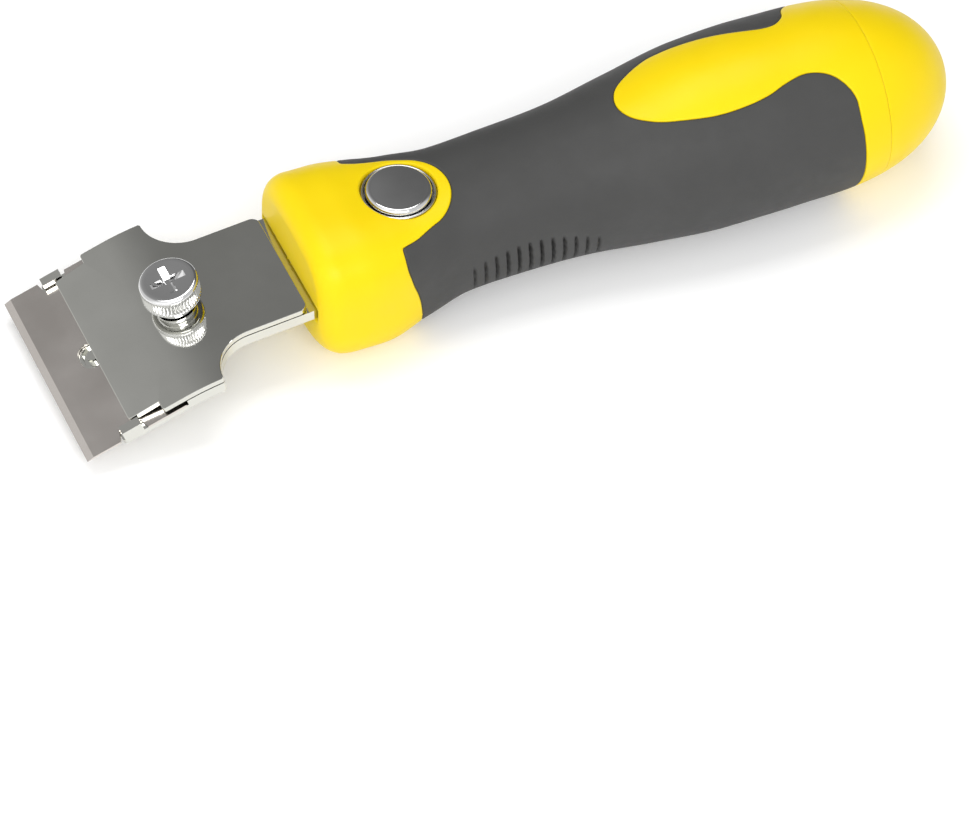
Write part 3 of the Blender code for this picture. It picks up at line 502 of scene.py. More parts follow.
def station_list():
    """Section places along the handle: close at the nose, the ribs and the dome, with both seam edges."""
    nose = [NOSE_X + NOSE_FINE * (1 - math.cos(math.radians(90 * i / NOSE_STEPS)))
            for i in range(NOSE_STEPS + 1)]
    rib_start = RIB_X0 - 2.0
    rib_end = RIB_X0 + RIB_PITCH * (RIBS - 1) + 2.0
    places = nose + list(np.arange(nose[-1] + RING_STEP, rib_start, RING_STEP))
    places += list(np.arange(rib_start, rib_end, RIB_PITCH / 10))
    places += list(np.arange(rib_end, CAP_SEAM - 1.2, RING_STEP))
    cap_start = CAP_SEAM + SEAM_GAP
    places += [CAP_SEAM - d for d in SEAM_STEPS[::-1]] + [cap_start + d for d in SEAM_STEPS]
    first = math.degrees(math.asin((cap_start + 1.0 - DOME_START) / (TAIL_X - DOME_START)))
    for i in range(DOME_STEPS):
        angle = math.radians(first + (DOME_LAST - first) * i / (DOME_STEPS - 1))
        places.append(DOME_START + (TAIL_X - DOME_START) * math.sin(angle))
    return places


def handle_form():
    """The whole outer surface of the handle as one triangle mesh, in a bmesh, in millimetres."""
    count = RING_POINTS
    rings = [ring(x, count) for x in station_list()]
    face_middle = rings[0].mean(axis=0)
    rings = [face_middle + (rings[0] - face_middle) * share for share in FACE_RINGS] + rings
    bm = bmesh.new()
    rows = [[bm.verts.new(point) for point in line] for line in rings]
    for first, second in zip(rows, rows[1:]):
        for i in range(count):
            j = (i + 1) % count
            bm.faces.new((first[i], first[j], second[j], second[i]))
    front = bm.verts.new(face_middle)
    pole = bm.verts.new((TAIL_X - 0.01, 0.0, section_at(TAIL_X)[2]))
    for i in range(count):
        j = (i + 1) % count
        bm.faces.new((front, rows[0][j], rows[0][i]))
        bm.faces.new((pole, rows[-1][i], rows[-1][j]))
    bmesh.ops.triangulate(bm, faces=bm.faces)
    return bm


# ---- parting lines: signed distances on the surface ----------------------------------------------------
def polygon_distance(points, outline):
    """Signed distance of 2-D points to a closed outline, negative inside."""
    corners = np.array(outline)
    following = np.roll(corners, -1, axis=0)
    best = np.full(len(points), 1e9)
    inside = np.zeros(len(points), bool)
    for a, b in zip(corners, following):
        side = b - a
        if side @ side < 1e-12:
            continue
        t = np.clip(((points - a) @ side) / (side @ side), 0, 1)
        best = np.minimum(best, np.linalg.norm(points - a - t[:, None] * side, axis=1))
        if a[1] != b[1]:
            crosses = (a[1] > points[:, 1]) != (b[1] > points[:, 1])
            at = a[0] + (points[:, 1] - a[1]) / (b[1] - a[1]) * side[0]
            inside ^= crosses & (points[:, 0] < at)
    return np.where(inside, -best, best)


def field_outline():
    """Plan of the yellow field about the button, open into the nose."""
    line = list(FIELD_NEAR[::-1]) + arc(*FIELD_CENTRE, FIELD_R, *FIELD_ARC, 24) + smooth_line(FIELD_FAR)
    return [(PAST_NOSE, line[0][1])] + line + [(PAST_NOSE, line[-1][1])]


def pad_outline():
    """Plan of the yellow thumb pad, open into the tail."""
    line = smooth_line(PAD_NEAR[::-1] + (PAD_TIP,) + PAD_FAR)
    return [(PAST_TAIL, line[0][1])] + line + [(PAST_TAIL, line[-1][1])]


def edge_at(z, line):
    """Place along the handle of one edge of the grip, at each height z."""
    curve = np.array(smooth_line(line))
    return np.interp(z, curve[:, 1], curve[:, 0])


def grip_field(points):
    """Positive inside the soft grip, negative on the hard core."""
    x, z = points[:, 0], points[:, 2]
    near, far, rear = (edge_at(z, line) for line in (GRIP_FRONT, GRIP_FRONT_FAR, GRIP_REAR))
    field = np.minimum(x - np.where(points[:, 1] < 0, near, far), rear - x)
    centre = np.array([section_at(min(max(value, NOSE_X), TAIL_X))[2] for value in x])
    plan = points[:, :2]
    upper = np.minimum(polygon_distance(plan, field_outline()), polygon_distance(plan, pad_outline()))
    return np.where(z > centre, np.minimum(field, upper), field)


def mouth_field(points):
    """Signed distance to the tang's mouth in the nose, negative inside it."""
    x0, z0, slope = path_frame(NECK_REAR)
    along = (points[:, 0] - x0) * math.cos(slope) + (points[:, 2] - z0) * math.sin(slope)
    above = (points[:, 2] - z0) * math.cos(slope) - (points[:, 0] - x0) * math.sin(slope)
    middle = 0.5 * (CARRIER_TOP + CARRIER_BOTTOM)
    half_high = 0.5 * (CARRIER_TOP - CARRIER_BOTTOM) + MOUTH_GAP_HIGH
    outside = np.stack([np.abs(points[:, 1]) - (NECK_HALF + MOUTH_GAP_WIDE),
                        np.abs(above - middle) - half_high], axis=1)
    far = np.linalg.norm(np.maximum(outside, 0), axis=1)
    field = far + np.minimum(outside.max(axis=1), 0)
    return np.where(along < MOUTH_REACH, field, FAR_AWAY)


def well_field(points):
    """Signed distance to the button's well, negative inside it."""
    field = np.hypot(points[:, 0] - LOBE_X, points[:, 1]) - WELL_R
    return np.where(points[:, 2] > BAY_Z, field, FAR_AWAY)


def points_of(bm):
    return np.array([vertex.co for vertex in bm.verts])


def store(bm, layer, values):
    for vertex, value in zip(bm.verts, values):
        vertex[layer] = value


def split_at_level(bm, layer, level, snap):
    """Cut the triangles along the line where a vertex value equals level."""
    for vertex in bm.verts:
        if abs(vertex[layer] - level) < snap:
            vertex[layer] = level
    for edge in list(bm.edges):
        a, b = edge.verts
        low, high = a[layer] - level, b[layer] - level
        if low * high < 0 and abs(low) + abs(high) < 4.0:
            middle = bmesh.utils.edge_split(edge, a, low / (low - high))[1]
            middle[layer] = level
    for face in list(bm.faces):
        if len(face.verts) > 3:
            on_line = [vertex for vertex in face.verts if vertex[layer] == level]
            if len(on_line) == 2:
                bmesh.utils.face_split(face, on_line[0], on_line[1])
    bmesh.ops.triangulate(bm, faces=[face for face in bm.faces if len(face.verts) > 3])


def measure_from_line(bm, layer, reach=1.5):
    """Turn the layer's values into true distances from the line where it is zero."""
    samples = []
    for edge in bm.edges:
        a, b = edge.verts
        if a[layer] == 0.0 and b[layer] == 0.0:
            count = max(2, int((b.co - a.co).length / 0.05))
            samples += [a.co.lerp(b.co, i / count) for i in range(count)]
    tree = KDTree(len(samples))
    for i, sample in enumerate(samples):
        tree.insert(sample, i)
    tree.balance()
    for vertex in bm.verts:
        value = vertex[layer]
        if value == 0.0:
            continue
        distance = reach
        if abs(value) < 2 * reach:
            distance = min(tree.find(vertex.co)[2], reach)
        vertex[layer] = math.copysign(max(distance, 0.01), value)


def round_depth(distance, radius):
    """How far a rounded edge has fallen at a distance inside that edge."""
    t = np.clip(1 - distance / radius, 0, 1)
    return radius * (1 - np.sqrt(1 - t * t))


def marked_form():
    """The handle's surface cut along every parting line: points, normals, triangles and distances."""
    bm = handle_form()
    layers = {name: bm.verts.layers.float.new(name) for name in ("grip", "mouth", "well")}
    shares = (0.1, 0.3, 0.6, 1.0)
    store(bm, layers["grip"], grip_field(points_of(bm)))
    split_at_level(bm, layers["grip"], 0.0, 0.02)
    measure_from_line(bm, layers["grip"])
    for share in shares:
        split_at_level(bm, layers["grip"], share * GRIP_ROUND, 0.01)
        split_at_level(bm, layers["grip"], -share * CORE_ROUND, 0.01)
    for name, field, radius in (("mouth", mouth_field, MOUTH_ROUND), ("well", well_field, WELL_ROUND)):
        store(bm, layers[name], field(points_of(bm)))
        for share in (0.0,) + shares:
            split_at_level(bm, layers[name], share * radius, 0.01)
    bmesh.ops.recalc_face_normals(bm, faces=bm.faces)
    bm.normal_update()
    bm.verts.index_update()
    points = points_of(bm)
    normals = np.array([vertex.normal for vertex in bm.verts])
    triangles = np.array([[vertex.index for vertex in face.verts] for face in bm.faces])
    fields = {name: np.array([vertex[layer] for vertex in bm.verts]) for name, layer in layers.items()}
    bm.free()
    return points, normals, triangles, fields


def rib_depth(points):
    """Depth of the finger grooves on both sides of the grip."""
    z = points[:, 2]
    along = points[:, 0] - RIB_X0 - RIB_LEAN * (RIB_TOP_MIDDLE - z)
    number = np.clip(np.round(along / RIB_PITCH), 0, RIBS - 1)
    across = np.clip(np.abs(along - number * RIB_PITCH) / RIB_HALF, 0, 1)
    top = RIB_TOP_ENDS + (RIB_TOP_MIDDLE - RIB_TOP_ENDS) * np.sin(np.pi * (number + 0.5) / RIBS)
    rise = np.clip((top - z) / RIB_FADE, 0, 1) * np.clip((z - RIB_LOW) / RIB_FADE, 0, 1)
    strength = 0.55 + 0.45 * np.sin(np.pi * (number + 0.5) / RIBS)
    return RIB_DEPTH * strength * rise ** 0.7 * 0.5 * (1 + np.cos(np.pi * across))


def directed_border(triangles):
    """Border edges of a triangle set, each in its triangle's own direction."""
    edges = np.concatenate([triangles[:, [0, 1]], triangles[:, [1, 2]], triangles[:, [2, 0]]])
    known = {(a, b) for a, b in edges.tolist()}
    return [(a, b) for a, b in known if (b, a) not in known]


def compact(points, faces):
    """Drop the points that no face uses."""
    used = sorted({i for face in faces for i in face})
    index = {old: new for new, old in enumerate(used)}
    return [points[i] for i in used], [tuple(index[i] for i in face) for face in faces]


def ring_loop(border, points, x):
    """The border edges at one x as one face."""
    following = {a: b for a, b in border if abs(points[a][0] - x) < 1e-5 and abs(points[b][0] - x) < 1e-5}
    start = next(iter(following))
    loop = [start]
    while following[loop[-1]] != start:
        loop.append(following[loop[-1]])
    return tuple(loop[::-1])


def pieces_of_handle():
    """Meshes of the hard core, the soft grip and the tail cap, before their inner rooms are cut."""
    points, normals, triangles, fields = marked_form()
    x = points[:, 0]
    grip = fields["grip"]
    total = len(points)
    soft = (grip[triangles] >= 0).all(axis=1) & (grip[triangles].max(axis=1) > 0)
    hard = ~soft & (x[triangles].max(axis=1) < CAP_SEAM + 1e-4)
    tail = ~soft & (x[triangles].min(axis=1) > CAP_SEAM + SEAM_GAP - 1e-4)

    fall = round_depth(np.abs(grip), CORE_ROUND) + round_depth(np.maximum(fields["mouth"], 0), MOUTH_ROUND)
    fall += round_depth(np.maximum(fields["well"], 0), WELL_ROUND)
    fall += round_depth(np.abs(x - np.where(x < CAP_SEAM + 0.01, CAP_SEAM, CAP_SEAM + SEAM_GAP)), SEAM_ROUND)
    outer = points - normals * fall[:, None]
    outer[:, 0] = np.where(np.abs(x - CAP_SEAM) < 1e-4, CAP_SEAM, outer[:, 0])
    outer[:, 0] = np.where(np.abs(x - CAP_SEAM - SEAM_GAP) < 1e-4, CAP_SEAM + SEAM_GAP, outer[:, 0])
    sunk = points - normals * RECESS

    hard_set, soft_set = triangles[hard], triangles[soft]
    soft_edges = set(directed_border(soft_set))
    border = directed_border(hard_set)
    walls = [(b, a, a + total, b + total) for a, b in border if (b, a) in soft_edges]
    faces = [tuple(t) for t in hard_set.tolist()] + [tuple(i + total for i in t) for t in soft_set.tolist()]
    faces += walls + [ring_loop(border, points, CAP_SEAM)]
    core_mesh = mesh_of("core", *compact(np.concatenate([outer, sunk]), faces))

    top = points - normals * (round_depth(np.maximum(grip, 0), GRIP_ROUND) + rib_depth(points))[:, None]
    under = points - normals * GRIP_THICK
    faces = [tuple(t) for t in soft_set.tolist()]
    faces += [tuple(i + total for i in t[::-1]) for t in soft_set.tolist()]
    faces += [(b, a, a + total, b + total) for a, b in soft_edges]
    grip_mesh = mesh_of("grip", *compact(np.concatenate([top, under]), faces))

    tail_set = triangles[tail]
    faces = [tuple(t) for t in tail_set.tolist()]
    faces.append(ring_loop(directed_border(tail_set), points, CAP_SEAM + SEAM_GAP))
    cap_mesh = mesh_of("cap", *compact(outer, faces))
    return core_mesh, grip_mesh, cap_mesh


# ---- rooms inside the handle ---------------------------------------------------------------------------
def rounded_box_outline(half_a, half_b, centre_b, corner):
    points = []
    for sign_a, sign_b, start in ((1, 1, 0), (-1, 1, 90), (-1, -1, 180), (1, -1, 270)):
        points += arc(sign_a * (half_a - corner), centre_b + sign_b * (half_b - corner), corner,
                      start, start + 90, 8)
    return points


def upright_rod(x, radius, low, high, steps=64):
    mesh = slab([circle(0, 0, radius, steps)], low, high)
    mesh.transform(Matrix.Translation((x * MM, 0, 0)))
    return mesh


def tail_rod(radius, start, end):
    return slab([circle(0, BAY_Z, radius, 96)], start, end, axis="X")


def tang_room():
    mouth, throat = NECK_HALF + 0.28, TANG_HALF + FIT_GAP
    half = [(NECK_REAR - 3, mouth), (TANG_NECK_END + 0.9, mouth), (TANG_NECK_END + 1.2, throat),
            (TANG_END + 0.4, throat)]
    return bend_sheet(slab([mirrored(half)], CARRIER_BOTTOM - 0.23, CARRIER_TOP + 0.23))


def make_handle():
    core_mesh, grip_mesh, cap_mesh = pieces_of_handle()
    bay = slab([rounded_box_outline(BAY_HALF_WIDE, BAY_HALF_HIGH, BAY_Z, BAY_CORNER)], BAY_X0, CAP_SEAM + 2,
               axis="X")
    rooms = [tang_room(), upright_rod(LOBE_X, WELL_R - 0.02, SLEEVE_LOW - 0.25, 40),
             upright_rod(LOBE_X, POCKET_R, SPRING_POCKET_LOW, SLEEVE_LOW + 1), bay,
             tail_rod(BORE_R, BORE_X0, CAP_SEAM + 2)]
    place("core_moulding", combine(core_mesh, rooms), "handle", "yellow_plastic", ["handle_core"], 38)
    place("grip_overmould", grip_mesh, "handle", "grip_rubber", ["soft_grip"], 50)
    cap = combine(cap_mesh, [tail_rod(SKIRT_R, SKIRT_X0, CAP_SEAM + 1.5)], "UNION")
    half_wide, half_thick = TONGUE_HALF + TONGUE_GAP, TONGUE_THICK / 2 + TONGUE_GAP
    socket = block((CAP_HOLLOW_END - 1, TONGUE_END + FIT_GAP), (-half_wide, half_wide),
                   (BAY_Z - half_thick, BAY_Z + half_thick))
    pin_x = 0.5 * (CAP_HOLLOW_END + TONGUE_END) + PIN_AT
    pin_hole = upright_rod(pin_x, PIN_R + PIN_GAP, -2, BAY_Z + PIN_RISE, 24)
    cap = combine(cap, [tail_rod(SKIRT_INNER_R, SKIRT_X0 - 1, CAP_HOLLOW_END), socket, pin_hole])
    place("tail_cap_moulding", cap, "tail", "yellow_plastic", ["tail_cap"], 38)


# ---- head ----------------------------------------------------------------------------------------------
def head_half_outline(front, front_half):
    """Half plan of a head plate from its front edge to the straight part of its neck."""
    fillet = HEAD_HALF - SHOULDER_CORNER - NECK_HALF
    shoulder = arc(SHOULDER_U + fillet + SHOULDER_CORNER, HEAD_HALF - SHOULDER_CORNER, fillet, 180, 270, 28)
    corner = arc(front + FRONT_CORNER, front_half - FRONT_CORNER, FRONT_CORNER, 180, 90, 5)
    return [(front, 0.0)] + corner, shoulder


def make_clamp():
    start, shoulder = head_half_outline(CLAMP_FRONT, CLAMP_HALF_FRONT)
    half = start + [(CLAMP_STEP, CLAMP_HALF_FRONT + 0.2)]
    half += arc(CLAMP_STEP + STEP_CORNER, HEAD_HALF - STEP_CORNER, STEP_CORNER, 180, 90, 5)
    half += [(SHOULDER_U, HEAD_HALF)] + shoulder
    half += arc(NECK_REAR - REAR_CORNER, NECK_HALF - REAR_CORNER, REAR_CORNER, 90, 0, 12)
    mesh = soften(slab([mirrored(half), circle(0, 0, SCREW_HOLE_R)], -CLAMP_THICK, 0), PLATE_EDGE)
    slice_at(mesh, [CLAMP_STEP])
    for vertex in mesh.vertices:
        u = vertex.co.x / MM
        if u < CLAMP_STEP:
            vertex.co.z -= LIP_DROP * MM * (CLAMP_STEP - u) / (CLAMP_STEP - CLAMP_FRONT)
    place("clamp_sheet", bend_sheet(mesh), "clamp", "polished_steel", ["clamp_plate"], 20)


def make_carrier():
    start, shoulder = head_half_outline(CARRIER_FRONT, HEAD_HALF)
    keyhole = arc(LOBE_X - BEND_X - KEYHOLE_BACK, 0, KEYHOLE_R, 36, 180, 16)
    half = start + [(SHOULDER_U, HEAD_HALF)] + shoulder
    half += [(TANG_NECK_END, NECK_HALF), (TANG_NECK_END + 0.6, TANG_HALF)]
    half += [(TANG_END - TANG_CORNER, TANG_HALF), (TANG_END, TANG_HALF - TANG_CORNER)]
    half += [(TANG_END, KEY_SLOT_HALF)] + keyhole
    flat = slab([mirrored(half), circle(0, 0, SCREW_HOLE_R)], CARRIER_BOTTOM, CARRIER_TOP)
    seat = block((CARRIER_FRONT - 2, SEAT_REAR), (-HEAD_HALF - 2, HEAD_HALF + 2),
                 (CARRIER_TOP - SEAT_DEPTH, CARRIER_TOP + 2))
    end = RELIEF_HALF - RELIEF_R
    relief = arc(RELIEF_U, end, RELIEF_R, 0, 180, 16) + arc(RELIEF_U, -end, RELIEF_R, 180, 360, 16)
    relief_floor = CARRIER_TOP - SEAT_DEPTH - RELIEF_DEPTH
    pocket = slab([relief, circle(RELIEF_U, 0, LOCATING_PIN_R - 0.05)], relief_floor, CARRIER_TOP)
    flat = combine(flat, [seat, pocket])
    lugs = [block((CARRIER_FRONT + LUG_INSET, LUG_REAR), sorted((side * LUG_HALF_IN, side * HEAD_HALF)),
                  (CARRIER_TOP - SEAT_DEPTH - 0.5, LUG_TOP)) for side in (-1, 1)]
    flat = soften(combine(flat, lugs, "UNION"), PLATE_EDGE)
    place("carrier_sheet", bend_sheet(flat), "handle", "polished_steel", ["blade_carrier"], 20)


def cross_recess(top):
    """Cutter for the cross recess: four tapered wings that meet over a cone."""
    cutters = []
    for turn in (0, 90):
        points = []
        for z, length, half in ((top - RECESS_DEPTH, 1.4, 0.4), (top + 0.2, 3.3, 0.66)):
            points += [(-length, -half, z), (length, -half, z), (length, half, z), (-length, half, z)]
        faces = [(3, 2, 1, 0), (4, 5, 6, 7)] + [(i, (i + 1) % 4, 4 + (i + 1) % 4, 4 + i) for i in range(4)]
        wing = mesh_of("wing", points, faces)
        wing.transform(Matrix.Rotation(math.radians(turn), 4, "Z"))
        cutters.append(wing)
    return cutters


def make_screw():
    """Knob with a straight knurl between two smooth rims, collar and shank."""
    low, top = COLLAR_HIGH, COLLAR_HIGH + KNOB_HIGH
    knurl_rows = [low + KNOB_RIM + 0.15 + (KNOB_HIGH - 2 * KNOB_RIM - 0.3) * i / 6 for i in range(7)]
    profile = [(0, top), (KNOB_R - KNOB_RIM - 0.5, top)]
    profile += [(KNOB_R - KNOB_RIM + x, top - KNOB_RIM + z) for x, z in arc(0, 0, KNOB_RIM, 90, 0, 6)]
    first = len(profile) - 1
    profile += [(KNOB_R, z) for z in knurl_rows[::-1]]
    profile += [(KNOB_R - KNOB_RIM + x, low + KNOB_RIM + z) for x, z in arc(0, 0, KNOB_RIM, 0, -90, 6)]
    groove = -SHANK_BELOW + 1.8
    profile += [(COLLAR_R + 0.15, low), (COLLAR_R, low - 0.15), (COLLAR_R, COLLAR_LOW + 0.15),
                (COLLAR_R - 0.15, COLLAR_LOW), (SHANK_R, COLLAR_LOW), (SHANK_R, groove),
                (SHANK_R - 0.5, groove), (SHANK_R - 0.5, -SHANK_BELOW + 0.8), (SHANK_R, -SHANK_BELOW + 0.8),
                (SHANK_R, -SHANK_BELOW + 0.3), (SHANK_R - 0.3, -SHANK_BELOW), (0, -SHANK_BELOW)]
    strength = {first + i: (0.35 if i in (0, 6) else 1.0) for i in range(7)}

    def knurled(row, radius, angle):
        wave = 0.5 - 0.5 * math.cos(KNURLS * angle)
        return radius - KNURL_DEPTH * strength.get(row, 0.0) * wave ** 0.7

    mesh = revolved(profile, KNURLS * 8, knurled)
    mesh = combine(mesh, cross_recess(top))
    mesh.transform(sheet_matrix(0.0))
    place("screw_knob", mesh, "screw", "chrome", ["thumb_screw"], 32)


def make_button():
    chamfer = BUTTON_R - BUTTON_FACE_R
    shoulder = SLEEVE_TOP - 1.15
    profile = [(0, BUTTON_TOP), (BUTTON_FACE_R - 0.25, BUTTON_TOP), (BUTTON_FACE_R, BUTTON_TOP - 0.03)]
    profile += [(BUTTON_R - chamfer + x, BUTTON_TOP - chamfer + z)
                for x, z in arc(0, 0, chamfer, 78, 0, 8)]
    profile += [(BUTTON_R, shoulder), (BUTTON_FLANGE_R - 0.1, shoulder), (BUTTON_FLANGE_R, shoulder - 0.1),
                (BUTTON_FLANGE_R, BUTTON_LOW), (STEM_R + 0.2, BUTTON_LOW), (STEM_R + 0.2, BUTTON_LOW + 2.6),
                (0, BUTTON_LOW + 2.6)]
    mesh = revolved(profile, 128)
    mesh.transform(Matrix.Translation((LOBE_X * MM, 0, 0)))
    place("button_cap", mesh, "button", "chrome", ["release_button"], 32)


def make_sleeve():
    """Pressed ring round the button, with a rolled lip."""
    roll = 0.5 * (SLEEVE_R - SLEEVE_LIP_R)
    middle = SLEEVE_R - roll
    under_lip = SLEEVE_TOP - SLEEVE_LIP
    floor_top = SLEEVE_LOW + SLEEVE_THICK
    profile = [(middle + x, SLEEVE_TOP - roll + z) for x, z in arc(0, 0, roll, 180, 0, 14)]
    profile += [(SLEEVE_R, SLEEVE_LOW), (SLEEVE_FLOOR_R, SLEEVE_LOW), (SLEEVE_FLOOR_R, floor_top),
                (SLEEVE_BORE, floor_top), (SLEEVE_BORE, under_lip), (SLEEVE_LIP_R, under_lip)]
    steps = 128
    points, faces = [], []
    for i in range(steps):
        angle = 2 * math.pi * i / steps
        points += [(r * math.cos(angle), r * math.sin(angle), z) for r, z in profile]
    count = len(profile)
    for i in range(steps):
        this, following = i * count, (i + 1) % steps * count
        faces += [(this + k, this + (k + 1) % count, following + (k + 1) % count, following + k)
                  for k in range(count)]
    mesh = mesh_of("sleeve", points, faces)
    mesh.transform(Matrix.Translation((LOBE_X * MM, 0, 0)))
    place("button_ring", mesh, "handle", "spring_steel", ["button_sleeve"], 32)


# ---- materials -----------------------------------------------------------------------------------------
def add_node(tree, kind, **values):
    node = tree.nodes.new(kind)
    for key, value in values.items():
        setattr(node, key, value)
    return node


def scaled_place(tree, scale):
    """Object coordinates in millimetres, stretched by a scale on each axis."""
    coordinates = add_node(tree, "ShaderNodeTexCoord")
    mapping = add_node(tree, "ShaderNodeMapping")
    mapping.inputs["Scale"].default_value = [1000 * s for s in scale]
    tree.links.new(coordinates.outputs["Object"], mapping.inputs["Vector"])
    return mapping.outputs["Vector"]


def noise(tree, scale=(1, 1, 1), detail=3.0, roughness=0.5, distortion=0.0):
    """Noise with about `scale` features to the millimetre on each axis."""
    node = add_node(tree, "ShaderNodeTexNoise")
    node.inputs["Scale"].default_value = 1.0
    node.inputs["Detail"].default_value = detail
    node.inputs["Roughness"].default_value = roughness
    node.inputs["Distortion"].default_value = distortion
    tree.links.new(scaled_place(tree, scale), node.inputs["Vector"])
    return node.outputs["Fac"]


def remap(tree, value, low, high, from_low=0.3, from_high=0.7):
    node = add_node(tree, "ShaderNodeMapRange")
    for name, number in (("From Min", from_low), ("From Max", from_high), ("To Min", low), ("To Max", high)):
        node.inputs[name].default_value = number
    tree.links.new(value, node.inputs["Value"])
    return node.outputs["Result"]


def mix_colours(tree, factor, first, second):
    node = add_node(tree, "ShaderNodeMix", data_type="RGBA")
    node.inputs["A"].default_value = (*first, 1.0)
    node.inputs["B"].default_value = (*second, 1.0)
    tree.links.new(factor, node.inputs["Factor"])
    return node.outputs["Result"]


def add_values(tree, first, second):
    node = add_node(tree, "ShaderNodeMath", operation="ADD")
    tree.links.new(first, node.inputs[0])
    tree.links.new(second, node.inputs[1])
    return node.outputs["Value"]


def finish_surface(tree, shader, colour, roughness, height, distance):
    """Wire colour, roughness and bump into the shader; distance is the bump's depth in millimetres."""
    bump = add_node(tree, "ShaderNodeBump")
    bump.inputs["Strength"].default_value = 1.0
    bump.inputs["Distance"].default_value = distance * MM
    tree.links.new(height, bump.inputs["Height"])
    tree.links.new(bump.outputs["Normal"], shader.inputs["Normal"])
    tree.links.new(colour, shader.inputs["Base Color"])
    tree.links.new(roughness, shader.inputs["Roughness"])


def new_material(name, metallic=0.0, specular=0.5):
    material = bpy.data.materials.new(name)
    material.use_nodes = True
    shader = material.node_tree.nodes["Principled BSDF"]
    shader.inputs["Metallic"].default_value = metallic
    shader.inputs["Specular IOR Level"].default_value = specular
    return material, material.node_tree, shader


def yellow_plastic():
    material, tree, shader = new_material("yellow_plastic", specular=0.2)
    patches = noise(tree, (0.06, 0.06, 0.06), 2)
    colour = mix_colours(tree, remap(tree, patches, 0.0, 1.0), (0.81, 0.595, 0.001), (0.84, 0.62, 0.002))
    rough = add_values(tree, remap(tree, noise(tree, (0.25, 0.25, 0.25), 4), 0.34, 0.44),
                       remap(tree, noise(tree, (0.5, 6, 6), 2), 0.0, 0.08, 0.6, 0.75))
    height = add_values(tree, noise(tree, (5, 5, 5), 3), noise(tree, (14, 14, 14), 2))
    finish_surface(tree, shader, colour, rough, height, 0.006)
    shader.inputs["Subsurface Weight"].default_value = 0.12
    shader.inputs["Subsurface Radius"].default_value = (1.0, 0.6, 0.08)
    shader.inputs["Subsurface Scale"].default_value = 0.0012
    return material


def grip_rubber():
    material, tree, shader = new_material("grip_rubber", specular=0.32)
    patches = noise(tree, (0.08, 0.08, 0.08), 3)
    colour = mix_colours(tree, remap(tree, patches, 0.0, 1.0), (0.048, 0.048, 0.047), (0.054, 0.054, 0.053))
    rough = add_values(tree, remap(tree, noise(tree, (0.3, 0.3, 0.3), 4), 0.52, 0.62),
                       remap(tree, noise(tree, (9, 9, 9), 2), 0.0, 0.08))
    height = add_values(tree, noise(tree, (7, 7, 7), 4, 0.6), noise(tree, (2.2, 2.2, 2.2), 2))
    finish_surface(tree, shader, colour, rough, height, 0.014)
    return material


def steel(name, dark, light, low_rough, high_rough, lines, depth):
    """Metal with fine lines; lines is the number of features to the millimetre on each axis."""
    material, tree, shader = new_material(name, metallic=1.0)
    streaks = noise(tree, lines, 3, 0.6)
    cloud = noise(tree, (0.12, 0.12, 0.12), 3)
    colour = mix_colours(tree, remap(tree, cloud, 0.0, 1.0), dark, light)
    rough = add_values(tree, remap(tree, cloud, low_rough, high_rough), remap(tree, streaks, 0.0, 0.03))
    finish_surface(tree, shader, colour, rough, streaks, depth)
    return material


def moulded(name, dark, light, low_rough, high_rough):
    material, tree, shader = new_material(name)
    colour = mix_colours(tree, remap(tree, noise(tree, (0.15, 0.15, 0.15), 3), 0.0, 1.0), dark, light)
    rough = remap(tree, noise(tree, (0.4, 0.4, 0.4), 3), low_rough, high_rough)
    finish_surface(tree, shader, colour, rough, noise(tree, (6, 6, 6), 3), 0.008)
    return material


def floor_paper():
    material, tree, shader = new_material("floor_paper", specular=0.2)
    colour = mix_colours(tree, remap(tree, noise(tree, (0.02, 0.02, 0.02), 2), 0.0, 1.0),
                         (0.93, 0.93, 0.93), (0.95, 0.95, 0.95))
    rough = remap(tree, noise(tree, (0.1, 0.1, 0.1), 2), 0.75, 0.85)
    finish_surface(tree, shader, colour, rough, noise(tree, (1.5, 1.5, 1.5), 2), 0.004)
    shader.inputs["Emission Color"].default_value = (1.0, 1.0, 1.0, 1.0)
    shader.inputs["Emission Strength"].default_value = 0.09
    return material


MATERIALS = {
    "yellow_plastic": yellow_plastic(),
    "grip_rubber": grip_rubber(),
    "polished_steel": steel("polished_steel", (0.63, 0.63, 0.59), (0.67, 0.67, 0.63), 0.03, 0.06,
                            (0.35, 9, 9), 0.0002),
    "ground_steel": steel("ground_steel", (0.60, 0.56, 0.525), (0.66, 0.62, 0.585), 0.14, 0.22,
                          (9, 0.5, 9), 0.0012),
    "chrome": steel("chrome", (0.70, 0.70, 0.70), (0.78, 0.78, 0.78), 0.03, 0.07, (2, 2, 2), 0.0002),
    "spring_steel": steel("spring_steel", (0.58, 0.58, 0.57), (0.66, 0.66, 0.65), 0.12, 0.18,
                          (5, 5, 5), 0.0005),
    "blade_plastic": moulded("blade_plastic", (0.90, 0.52, 0.02), (0.96, 0.60, 0.03), 0.35, 0.48),
    "tray_plastic": moulded("tray_plastic", (0.028, 0.028, 0.028), (0.045, 0.045, 0.045), 0.4, 0.55),
}


def finish_cad_nodes():
    """CAD nodes that stay in view get the detailed materials and softened edges."""
    replaced = {"handle_core", "soft_grip", "tail_cap", "blade_carrier", "clamp_plate", "thumb_screw",
                "release_button", "button_sleeve"}
    slots = {row["node"]: row["material_slot"] for row in frame["record"]["subparts"]}
    for name, node in frame["nodes"].items():
        if name in replaced:
            continue
        for material_slot in node.material_slots:
            material_slot.material = MATERIALS[slots[name]]
        bevel = node.modifiers.new("worn_edges", "BEVEL")
        bevel.width = 0.06 * MM
        bevel.segments = 2
        bevel.limit_method = "ANGLE"
        bevel.angle_limit = math.radians(40)


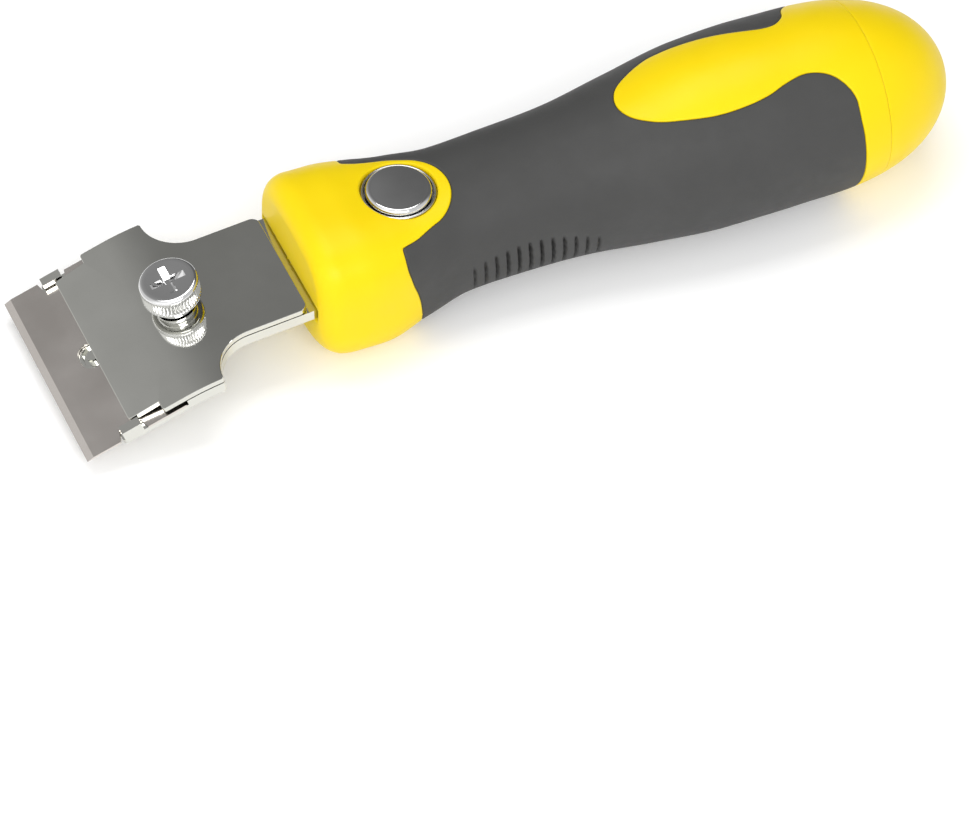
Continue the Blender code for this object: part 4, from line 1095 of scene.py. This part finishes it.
# ---- studio --------------------------------------------------------------------------------------------
WORLD_BY_X = ((-0.6, 0.8), (-0.36, 0.44), (0.05, 0.25), (0.4, 0.14))
WORLD_BY_Y = ((-0.35, 0.6), (0.25, 0.0))


def make_floor():
    half = 1500.0
    drop = -0.05
    corners = [(-half, -half, drop), (half, -half, drop), (half, half, drop), (-half, half, drop)]
    mesh = mesh_of("floor", corners, [(0, 1, 2, 3)])
    mesh.materials.append(floor_paper())
    add_object("floor", mesh)


def world_ramp(tree, value, stops):
    """Brightness of the studio as a smooth curve through (position, brightness) stops."""
    total = None
    for (low, low_level), (high, high_level) in zip(stops, stops[1:]):
        step = add_node(tree, "ShaderNodeMapRange", interpolation_type="SMOOTHSTEP")
        for name, number in (("From Min", low), ("From Max", high), ("To Min", 0.0),
                             ("To Max", high_level - low_level)):
            step.inputs[name].default_value = number
        tree.links.new(value, step.inputs["Value"])
        total = step.outputs["Result"] if total is None else add_values(tree, total, step.outputs["Result"])
    lift = add_node(tree, "ShaderNodeMath", operation="ADD")
    lift.inputs[1].default_value = stops[0][1]
    tree.links.new(total, lift.inputs[0])
    return lift.outputs["Value"]


def make_world():
    """Pale studio: grey at the back, brighter behind the blade, white on the camera's side."""
    world = bpy.data.worlds.new("studio")
    bpy.context.scene.world = world
    world.use_nodes = True
    tree = world.node_tree
    background = tree.nodes["Background"]
    coordinates = add_node(tree, "ShaderNodeTexCoord")
    split = add_node(tree, "ShaderNodeSeparateXYZ")
    tree.links.new(coordinates.outputs["Generated"], split.inputs["Vector"])
    behind = world_ramp(tree, split.outputs["X"], WORLD_BY_X)
    front = world_ramp(tree, split.outputs["Y"], WORLD_BY_Y)
    tree.links.new(add_values(tree, behind, front), background.inputs["Strength"])
    background.inputs["Color"].default_value = (1.0, 1.0, 1.0, 1.0)


def aim(item, place_at, target):
    item.location = Vector(place_at) * MM
    item.rotation_mode = "QUATERNION"
    item.rotation_quaternion = (Vector(target) - Vector(place_at)).to_track_quat("-Z", "Y")


def add_area(name, place_at, target, size, watts):
    light = bpy.data.lights.new(name, "AREA")
    light.shape = "RECTANGLE"
    light.size, light.size_y = size[0] * MM, size[1] * MM
    light.energy = watts
    item = add_object(name, light)
    aim(item, place_at, target)
    return item


def make_lights():
    add_area("top_softbox", (0, 250, 1100), (0, 0, 0), (900, 500), 5.0)
    add_area("front_softbox", (-250, -850, 800), (0, 0, 0), (900, 350), 5.6)


def make_camera():
    azimuth, elevation = math.radians(CAMERA_AZIMUTH), math.radians(CAMERA_ELEVATION)
    roll = math.radians(CAMERA_ROLL)
    back = Vector((math.sin(azimuth) * math.cos(elevation), -math.cos(azimuth) * math.cos(elevation),
                   math.sin(elevation)))
    level = Vector((math.cos(azimuth), math.sin(azimuth), 0))
    right = level * math.cos(roll) + back.cross(level) * math.sin(roll)
    up = back.cross(right)
    data = bpy.data.cameras.new("camera")
    data.lens = CAMERA_LENS
    data.sensor_width = 36.0
    data.clip_start, data.clip_end = 0.01, 20.0
    camera = add_object("camera", data)
    turn = Matrix((right, up, back)).transposed().to_4x4()
    camera.matrix_world = Matrix.Translation((Vector(CAMERA_AIM) + back * CAMERA_DISTANCE) * MM) @ turn
    bpy.context.scene.camera = camera


make_handle()
make_clamp()
make_carrier()
make_screw()
make_button()
make_sleeve()
finish_cad_nodes()
make_floor()
make_world()
make_lights()
make_camera()
bpy.context.scene.view_settings.view_transform = "Standard"
